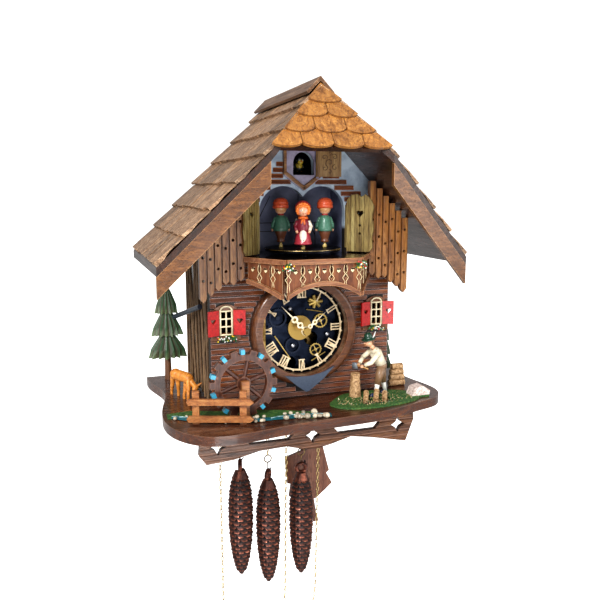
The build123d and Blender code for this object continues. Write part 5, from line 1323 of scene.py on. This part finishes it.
def gear(bm, centre, radius, thick, teeth, arms, colour):
    """A clock wheel: teeth, a rim, crossing arms and a hub, facing along Y."""
    centre, count, inner = Vector(centre), teeth * 4, radius * 0.76
    part = bmesh.new()
    bmesh.ops.create_circle(part, segments=count, radius=inner)
    grown = bmesh.ops.extrude_edge_only(part, edges=list(part.edges))["geom"]
    for vertex in grown:
        if isinstance(vertex, bmesh.types.BMVert):
            step = round(math.atan2(vertex.co.y, vertex.co.x) / math.tau * count)
            reach = radius if step % 4 < 2 else radius * 0.92
            vertex.co *= reach / inner
    bmesh.ops.rotate(part, verts=part.verts, cent=(0, 0, 0), matrix=FACE_FRONT)
    grown = bmesh.ops.extrude_face_region(part, geom=list(part.faces))["geom"]
    back = [one for one in grown if isinstance(one, bmesh.types.BMVert)]
    bmesh.ops.translate(part, verts=back, vec=(0, thick, 0))
    add_part(bm, part, colour, centre)
    for number in range(arms):
        angle = math.tau * number / arms + 0.4
        arm = Vector((inner * 1.05 * math.cos(angle), thick / 2, inner * 1.05 * math.sin(angle)))
        limb(bm, centre + Vector((0, thick / 2, 0)), centre + arm, thick * 0.9, thick * 0.6, colour, 8)
    turned(bm, [(0, 0), (radius * 0.22, 0), (radius * 0.22, thick * 1.6), (0, thick * 1.6)], colour,
           centre - Vector((0, thick * 0.3, 0)), 16, Matrix.Rotation(-math.pi / 2, 3, "X"))


# In front of the plate stand the motion work and the levers of the strike.
GILT, BLUED = (0.50, 0.36, 0.12), (0.020, 0.026, 0.045)
WORK_Y = -0.1305
FAN_X, FAN_Z = 0.0185, -0.1335
bm = paint_bm()
for x, z, radius, teeth, arms, colour in (
        (-0.0085, -0.1825, 0.0095, 22, 0, BLUED), (0.0250, -0.1560, 0.0085, 20, 4, GILT),
        (0.0190, -0.1890, 0.0075, 18, 4, GILT), (-0.0260, -0.1500, 0.0110, 26, 0, BLUED)):
    gear(bm, (x, WORK_Y, z), radius, 0.0010, teeth, arms, colour)
for x0, z0, x1, z1, wide in ((0.010, -0.1320, 0.022, -0.1345, 0.0016),
                             (-0.030, -0.1700, -0.012, -0.1970, 0.0008),
                             (0.008, -0.1420, 0.028, -0.1460, 0.0007),
                             (0.014, -0.2020, 0.031, -0.1930, 0.0009)):
    limb(bm, (x0, -0.1302, z0), (x1, -0.1302, z1), wide, wide * 0.8, GILT, 8)
for number in range(7):
    angle = math.tau * number / 7
    tip = (FAN_X + 0.0085 * math.cos(angle), -0.1300, FAN_Z + 0.0075 * math.sin(angle))
    limb(bm, (FAN_X, -0.1300, FAN_Z), tip, 0.0026, 0.0020, GILT, 10)
for x, z in ((-0.0085, -0.1825), (-0.034, -0.185), (0.033, -0.172), (-0.012, -0.140), (0.004, -0.205)):
    turned(bm, [(0, 0), (0.0020, 0), (0.0022, 0.0006), (0.0010, 0.0016), (0, 0.0018)], (0.55, 0.56, 0.60),
           (x, -0.1312, z), 14, FACE_FRONT)
gilt_work, tree, shader, place = new_material("gilt_work")
tree.links.new(attribute(tree, "paint")["Color"], shader.inputs["Base Color"])
shader.inputs["Metallic"].default_value = 0.85
tree.links.new(spread(tree, noise(tree, place, 300, 3), 0.3, 0.7, 0.25, 0.42), shader.inputs["Roughness"])
bm_piece("motion_work", bm, gilt_work, "case", smooth=False)
bm = paint_bm()
turned(bm, [(0, 0), (0.0046, 0), (0.0048, 0.0006), (0.0040, 0.0012), (0.0030, 0.0013), (0.0030, 0.0022),
            (0.0017, 0.0030), (0, 0.0032)], (0.80, 0.60, 0.26), (0, -0.1518, DIAL_Z), 24, FACE_FRONT)
bm_piece("hand_nut", bm, gilt_work, "minute_hand")

bm = toned_bm()
add_box(bm, (-0.0485, -0.1385, -0.1860), (-0.0425, -0.1375, -0.1480), 0.0004, 0.5, 1)
bm_piece("brass_strip", bm, train_brass, "case", smooth=False)

# A glossy blue-black shield hangs below the ring.
bm = paint_bm()
outline = [(-0.0255, -0.2105), (-0.0120, -0.2128), (0.0060, -0.2128), (0.0200, -0.2100),
           (0.0330, -0.2040), (0.0200, -0.2175), (0.0030, -0.2300), (-0.0010, -0.2306),
           (-0.0110, -0.2235)]
front = bm.faces.new([bm.verts.new((x, -0.1535, z)) for x, z in outline])
grown = bmesh.ops.extrude_face_region(bm, geom=[front])["geom"]
back = [one for one in grown if isinstance(one, bmesh.types.BMVert)]
bmesh.ops.translate(bm, verts=back, vec=(0, 0.0125, 0))
tint(bm, bm.verts, (0.055, 0.075, 0.115))
bm_piece("ring_shield", bm, figure_paint, "case", smooth=False)
steel_dark = metal("steel_dark", (0.05, 0.05, 0.055), (0.20, 0.20, 0.22), 0.35, 60)
dress("gong", steel_dark)
dress("music_box", disc_black)
for letter in "abc":
    dress(f"chain_wheel_{letter}", train_brass)

# ---------------------------------------------------------------- side windows
# Arched brown surrounds, cream glazing bars over dark glass, red shutters with a heart cut in each,
# and a box of flowers under each sill.
SILL_Z, GLASS_TOP, GLAZING_Y = -0.1615, -0.1360, -0.1446
BAR_R, BAR_CREAM = 0.0009, (0.80, 0.70, 0.48)
ARCH_STEPS = 8
for side, name in ((-1, "left"), (1, "right")):
    bm = paint_bm()
    x = side * WINDOW_X
    bars = [((across, SILL_Z), (across, GLASS_TOP)) for across in (-0.0062, 0.0, 0.0062)]
    bars += [((-0.0068, SILL_Z + up), (0.0068, SILL_Z + up)) for up in (0.0, 0.0088, 0.0172, 0.0255)]
    arch = [(0.0066 * math.cos(math.pi * step / ARCH_STEPS),
             GLASS_TOP + 0.0052 * math.sin(math.pi * step / ARCH_STEPS)) for step in range(ARCH_STEPS + 1)]
    for (x0, z0), (x1, z1) in bars + list(zip(arch, arch[1:])):
        limb(bm, (x + x0, GLAZING_Y, z0), (x + x1, GLAZING_Y, z1), BAR_R, BAR_R, BAR_CREAM, 8)
    bm_piece(f"glazing_{name}", bm, figure_paint, "case")
    bm = paint_bm()
    flowers(bm, (x, -0.1462, SILL_Z - 0.0042), (0.0105, 0.0012, 0.0030), (WHITE, YELLOW, WHITE, RED), 44)
    bm_piece(f"window_flowers_{name}", bm, figure_paint, "case")

material, tree, shader, place = new_material("window_wood")
whole = axes(tree, place)
off_centre = calc(tree, "ABSOLUTE", calc(tree, "SUBTRACT", calc(tree, "ABSOLUTE", whole["X"]), WINDOW_X))
is_shutter = calc(tree, "GREATER_THAN", off_centre, 0.0078)
proud = calc(tree, "LESS_THAN", whole["Y"], -0.1437)
mask = calc(tree, "MULTIPLY", is_shutter, proud)
uneven = noise(tree, place, 380, 5, 0.7)
red = ramp(tree, uneven, [(0.3, (0.20, 0.006, 0.006)), (0.5, (0.42, 0.010, 0.010)),
                          (0.72, (0.55, 0.020, 0.016))])
brown = ramp(tree, uneven, [(0.3, (0.075, 0.025, 0.010)), (0.6, (0.22, 0.09, 0.035))])
tree.links.new(blend_colour(tree, mask, brown, red), shader.inputs["Base Color"])
shader.inputs["Roughness"].default_value = 0.35
shader.inputs["Coat Weight"].default_value = 0.25
relief(tree, shader, uneven, 0.0003)
dress("windows", material)

# ---------------------------------------------------------------- water wheel, fence and deer
wheel_brown = wood("wheel_brown", (0.035, 0.010, 0.006), (0.085, 0.024, 0.011), (0.16, 0.052, 0.024), "Z",
                   1.4, 0.35, 0.25, (0.34, 0.15, 0.08), 0.0010)
dress("water_wheel", wheel_brown)
bm = paint_bm()
WHEEL_AT, PADDLES = Vector((-0.081, -0.185, -0.204)), 10
TIP_BLUE, PADDLE_BROWN = (0.05, 0.34, 0.50), (0.15, 0.05, 0.025)
for number in range(PADDLES):
    angle = math.radians(360 / PADDLES * number - 17)
    out = Vector((math.cos(angle), 0, math.sin(angle)))
    turn = Matrix.Rotation(-angle, 3, "Y")
    block(bm, WHEEL_AT + out * 0.0314, (0.0070, 0.0074, 0.0026), PADDLE_BROWN, turn)
    block(bm, WHEEL_AT + out * 0.0328, (0.0048, 0.0077, 0.0042), TIP_BLUE, turn)
bm_piece("wheel_paddles", bm, figure_paint, "water_wheel", smooth=False)

fence_orange = wood("fence_orange", (0.24, 0.075, 0.018), (0.46, 0.17, 0.045), (0.62, 0.30, 0.10), "X",
                    1.3, 0.4, 0.2, (0.14, 0.05, 0.02), 0.0008)
dress("fence", fence_orange)
deer_coat = clouded("deer_coat", 300, [(0.3, (0.42, 0.13, 0.018)), (0.6, (0.72, 0.29, 0.050)),
                                      (0.75, (0.80, 0.42, 0.11))], 0.45, 0.0004)
dress("deer", deer_coat)

# ---------------------------------------------------------------- firs
# Carved firs on the platform: three ragged skirts of branches each, green with brown in the hollows.
TREE_GREEN, TREE_DARK, TREE_TIP, TRUNK = (0.030, 0.095, 0.040), (0.055, 0.040,
                                                                 0.022), (0.15, 0.21, 0.10), (0.17, 0.075,
                                                                     0.035)


BOUGHS = 30
SKIRT_LEVELS = 4
TIERS = 3
FOOT = -0.2398


def fir(x, y, height, half, deep):
    """Skirts of splayed boughs, each bough a ridge that ends in a ragged point."""
    bm = paint_bm()
    limb(bm, (x, y, FOOT), (x, y, FOOT + height * 0.42), half * 0.17, half * 0.12, TRUNK, 10)
    low = height * 0.24
    rise = (height - low) / (TIERS + 0.35)
    for tier in range(TIERS):
        base, top = FOOT + low + tier * rise, FOOT + low + (tier + 1.35) * rise
        reach = half * (1 - 0.62 * tier / TIERS)
        part = bmesh.new()
        layer = part.verts.layers.float_color.new("paint")
        rings = [bmesh.ops.create_circle(part, segments=BOUGHS, radius=1.0)["verts"]]
        edges_up = list(part.edges)
        for level in range(SKIRT_LEVELS):
            grown = bmesh.ops.extrude_edge_only(part, edges=edges_up)["geom"]
            rings.append([one for one in grown if isinstance(one, bmesh.types.BMVert)])
            edges_up = [one for one in grown if isinstance(one, bmesh.types.BMEdge)]
        for level, ring in enumerate(rings):
            share = level / SKIRT_LEVELS
            around = sorted(ring, key=lambda one: math.atan2(one.co.y, one.co.x) % math.tau)
            for step in range(BOUGHS):
                crest, vertex = step % 2 == 0, around[step]
                angle = math.tau * step / BOUGHS
                ragged, drop = (1.0 if crest else 0.86), 0.0
                if level == 0:
                    ragged = random.uniform(0.82, 1.0) if crest else random.uniform(0.62, 0.80)
                radius = reach * (1 - share) ** 0.85 * ragged + 0.0003
                if level == 0 and crest:
                    drop = -random.uniform(0.02, 0.10) * rise
                vertex.co = (x + radius * math.cos(angle), y + radius * deep * math.sin(angle),
                             base + (top - base) * share + drop)
                shade = (TREE_GREEN if level else TREE_TIP) if crest else TREE_DARK
                vertex[layer] = (*shade, 1)
        underside = bmesh.ops.contextual_create(part, geom=rings[0])["faces"]
        middle = bmesh.ops.poke(part, faces=underside)["verts"][0]
        middle.co = (x, y, base + 0.12 * (top - base))
        middle[layer] = (*TREE_DARK, 1)
        bmesh.ops.contextual_create(part, geom=rings[-1])
        add_part(bm, part)
    return bm


bm = fir(-0.1325, -0.018, 0.1205, 0.0262, 0.40)
limb(bm, (-0.1240, -0.0240, -0.1610), (-0.1090, -0.1100, -0.1355), 0.0029, 0.0029, (0.035, 0.042, 0.065),
     12)
tall_fir = bm_piece("tall_fir", bm, figure_paint, "case", smooth=False)
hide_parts("trees")
bm = fir(0.1140, -0.118, 0.0755, 0.0088, 0.75)
bm_piece("small_fir", bm, figure_paint, "case", smooth=False)

# ---------------------------------------------------------------- wood chopper
# A carved figure bends over the block in a green hat, cream shirt and brown knee breeches.
CLOTH_HAT, SHIRT, BREECHES, SOCK, SHOE = ((0.012, 0.050, 0.028), (0.80, 0.72, 0.54), (0.24, 0.14, 0.075),
                                          (0.78, 0.76, 0.70), (0.012, 0.022, 0.075))
CHOPPER_Y = -0.166
bm = paint_bm()
for foot, toe, hip in (((0.0762, -0.1712), (0.0705, -0.1716), (0.0835, -0.1690)),
                       ((0.0930, -0.1618), (0.0880, -0.1622), (0.0870, -0.1630))):
    heel = Vector((foot[0], foot[1], FOOT + 0.0026))
    blob(bm, (heel + Vector((toe[0], toe[1], FOOT + 0.0022))) / 2, (0.0052, 0.0027, 0.0026), SHOE, 3)
    knee = Vector(((foot[0] + hip[0]) / 2 - 0.0010, (foot[1] + hip[1]) / 2, -0.2232))
    limb(bm, heel, knee, 0.0023, 0.0030, SOCK, 14)
    limb(bm, knee - Vector((0, 0, 0.0018)), Vector((hip[0], hip[1], -0.2055)), 0.0040, 0.0050, BREECHES, 14)
blob(bm, (0.0852, CHOPPER_Y, -0.2052), (0.0062, 0.0068, 0.0060), BREECHES, 3)
limb(bm, (0.0850, CHOPPER_Y, -0.2040), (0.0775, CHOPPER_Y, -0.1890), 0.0062, 0.0068, SHIRT, 18)
blob(bm, (0.0775, CHOPPER_Y, -0.1880), (0.0050, 0.0080, 0.0048), SHIRT, 3)
for side in (-1, 1):
    limb(bm, (0.0832, CHOPPER_Y + side * 0.0042, -0.2035), (0.0765, CHOPPER_Y + side * 0.0046, -0.1842),
         0.0010, 0.0010, BREECHES, 8)
limb(bm, (0.0752, CHOPPER_Y, -0.1852), (0.0705, CHOPPER_Y, -0.1790), 0.0028, 0.0028, SKIN, 12)
blob(bm, (0.0690, CHOPPER_Y, -0.1768), (0.0050, 0.0048, 0.0052), SKIN, 3,
     Matrix.Rotation(math.radians(-20), 3, "Y"))
blob(bm, (0.0715, CHOPPER_Y, -0.1762), (0.0038, 0.0047, 0.0040), (0.20, 0.08, 0.025), 3)
blob(bm, (0.0640, CHOPPER_Y, -0.1780), (0.0014, 0.0010, 0.0010), SKIN, 2)
for side in (-1, 1):
    blob(bm, (0.0650, CHOPPER_Y + side * 0.0019, -0.1762), 0.0006, (0.02, 0.012, 0.01), 2)
blob(bm, (0.0648, CHOPPER_Y, -0.1800), (0.0016, 0.0026, 0.0012), (0.30, 0.13, 0.05), 2)
tilt = Matrix.Rotation(math.radians(-14), 3, "Y")
turned(bm, [(0, 0), (0.0078, -0.0004), (0.0084, 0.0002), (0.0080, 0.0009), (0.0050, 0.0014),
            (0.0048, 0.0032), (0.0040, 0.0062), (0.0020, 0.0076), (0, 0.0080)], CLOTH_HAT,
       (0.0690, CHOPPER_Y, -0.1732), 24, tilt)
limb(bm, (0.0722, -0.1700, -0.1716), (0.0745, -0.1715, -0.1640), 0.0010, 0.0003, (0.82, 0.82, 0.78), 8)
chopper = bm_piece("wood_cutter", bm, figure_paint, "case")
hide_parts("wood_chopper")

bm = paint_bm()
HAFT, BLADE = (0.45, 0.24, 0.08), (0.16, 0.18, 0.20)
for side, elbow, hand in ((-1, (0.0672, -0.1776, -0.1972), (0.0588, -0.1712, -0.2028)),
                          (1, (0.0668, -0.1560, -0.1962), (0.0573, -0.1652, -0.2022))):
    shoulder = Vector((0.0762, CHOPPER_Y + side * 0.0088, -0.1885))
    blob(bm, shoulder, 0.0032, SHIRT, 2)
    limb(bm, shoulder, elbow, 0.0031, 0.0027, SHIRT, 12)
    blob(bm, elbow, 0.0027, SHIRT, 2)
    limb(bm, elbow, Vector(elbow).lerp(Vector(hand), 0.7), 0.0026, 0.0022, SHIRT, 12)
    blob(bm, hand, 0.0021, SKIN, 2)
limb(bm, (0.0640, -0.1765, -0.2048), (0.0532, -0.1632, -0.2012), 0.0009, 0.0009, HAFT, 8)
made = block(bm, (0, 0, 0), (0.0026, 0.0052, 0.0072), BLADE)
for vertex in made:
    if vertex.co.z < 0:
        vertex.co.x *= 0.15
        vertex.co.y *= 1.35
place_verts(bm, made, Matrix.Translation((0.0536, -0.1636,
                                          -0.2032)) @ Matrix.Rotation(math.radians(40), 4, "Z"))
arms = bm_piece("cutter_arms_and_axe", bm, figure_paint, "chopper_arms")
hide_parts("chopper_arms")

# ---------------------------------------------------------------- logs, rock and ground
# The meadow is flocked green with a pale rock at its right; split logs lie about the chopping block,
# and a painted stream runs to the left between banks of pebbles.
log_bark = clouded("log_bark", 420, [(0.32, (0.12, 0.055, 0.022)), (0.5, (0.42, 0.25, 0.12)),
                                     (0.7, (0.66, 0.46, 0.26))], 0.6, 0.0004)
dress("logs", log_bark)

material, tree, shader, place = new_material("ground_paint")
whole = axes(tree, place)
speck = noise(tree, place, 420, 5, 0.7)
grass = ramp(tree, speck, [(0.34, (0.012, 0.050, 0.014)), (0.52, (0.045, 0.135, 0.030)),
                           (0.68, (0.16, 0.24, 0.06)), (0.78, (0.50, 0.38, 0.16))])
stone = ramp(tree, speck, [(0.35, (0.30, 0.20, 0.17)), (0.5, (0.72, 0.58, 0.52)),
                           (0.7, (0.88, 0.80, 0.74))])
is_rock = calc(tree, "MULTIPLY", calc(tree, "GREATER_THAN", whole["Z"], -0.2377),
               calc(tree, "GREATER_THAN", whole["X"], 0.105))
ground = blend_colour(tree, is_rock, grass, stone)
tree.links.new(ground, shader.inputs["Base Color"])
shader.inputs["Roughness"].default_value = 0.6
relief(tree, shader, speck, 0.0010)
dress("ground_cover", material)

# The stream runs out from under the wheel.
TEAL, FOAM = (0.012, 0.13, 0.16), (0.35, 0.52, 0.52)
RIPPLES, PEBBLES, FLOCK_TUFTS = 26, 46, 520
bm = paint_bm()
STREAM = [(-0.1500, -0.1640), (-0.1380, -0.1740), (-0.1180, -0.1860), (-0.0980, -0.1965),
          (-0.0780, -0.2010), (-0.0550, -0.2020), (-0.0350, -0.2020), (-0.0140, -0.2060),
          (0.0060, -0.2105)]
bends = len(STREAM) - 1
grid = bmesh.ops.create_grid(bm, x_segments=bends, y_segments=2, size=0.5)["verts"]
for vertex in grid:
    number, side = round((vertex.co.x + 0.5) * bends), round(vertex.co.y * 2)
    x, y = STREAM[number]
    before, after = Vector(STREAM[max(number - 1, 0)]), Vector(STREAM[min(number + 1, bends)])
    run = (after - before).normalized()
    aside = Vector((-run.y, run.x)) * (0.0048 if number < bends - 2 else 0.0066)
    vertex.co = (x + aside.x * side, y + aside.y * side, -0.2394 + 0.0012 * (1 - abs(side)))
tint(bm, grid, TEAL)


def along_stream():
    """A chance place along the stream: how far along, where, and the way it runs."""
    share = random.uniform(0, len(STREAM) - 1.01)
    start, end = Vector(STREAM[int(share)]), Vector(STREAM[int(share) + 1])
    return share, start.lerp(end, share % 1), (end - start).normalized()


for number in range(RIPPLES):
    share, spot, run = along_stream()
    run *= 0.004
    limb(bm, (spot.x - run.x, spot.y - run.y + random.uniform(-0.003, 0.003), -0.2381),
         (spot.x + run.x, spot.y + run.y + random.uniform(-0.003, 0.003), -0.2381), 0.0004, 0.0003, FOAM, 5)
bm_piece("stream", bm, figure_paint, "case")

bm = paint_bm()
for number in range(PEBBLES):
    share, spot, run = along_stream()
    side = 1 if number % 2 else -1
    spot += Vector((-run.y, run.x)) * side * random.uniform(0.0050, 0.0072)
    size = random.uniform(0.0016, 0.0044) if share > 5 else random.uniform(0.0013, 0.0028)
    grey = random.uniform(0.45, 1.05)
    blob(bm, (spot.x, spot.y, -0.2392 + size * 0.45), (size, size * random.uniform(0.7, 1.0),
                                                       size * random.uniform(0.6, 0.85)),
         (0.66 * grey, 0.56 * grey, 0.42 * grey), 2, Matrix.Rotation(random.uniform(0, 3), 3, "Z"))
bm_piece("pebbles", bm, figure_paint, "case")

# Flock and wood shavings roughen the meadow round the chopper.
bm = paint_bm()
FLOCK = ((0.020, 0.075, 0.022), (0.045, 0.12, 0.030), (0.10, 0.16, 0.050), (0.36, 0.27, 0.12),
         (0.58, 0.44, 0.24))
for number in range(FLOCK_TUFTS):
    angle, reach = random.uniform(0, math.tau), math.sqrt(random.random())
    x, y = 0.071 + 0.047 * reach * math.cos(angle), -0.181 + 0.021 * reach * math.sin(angle)
    length = random.uniform(0.0010, 0.0024)
    lean = Vector((random.uniform(-1, 1), random.uniform(-1, 1),
                   random.uniform(0.1, 0.8))).normalized() * length
    limb(bm, (x, y, -0.2382), (x + lean.x, y + lean.y, -0.2380 + lean.z), 0.0005, 0.0002,
         random.choice(FLOCK), 4)
bm_piece("meadow_flock", bm, figure_paint, "case", smooth=False)

# ---------------------------------------------------------------- pendulum
# A flat stick and a two-tier carved bob of one stained wood.
bob_wood = wood("bob_wood", (0.11, 0.030, 0.016), (0.23, 0.075, 0.036), (0.36, 0.15, 0.075), "Z", 1.0,
                0.36, 0.25, (0.10, 0.035, 0.02), 0.0012, bump=0.0005)
dress("pendulum", bob_wood)
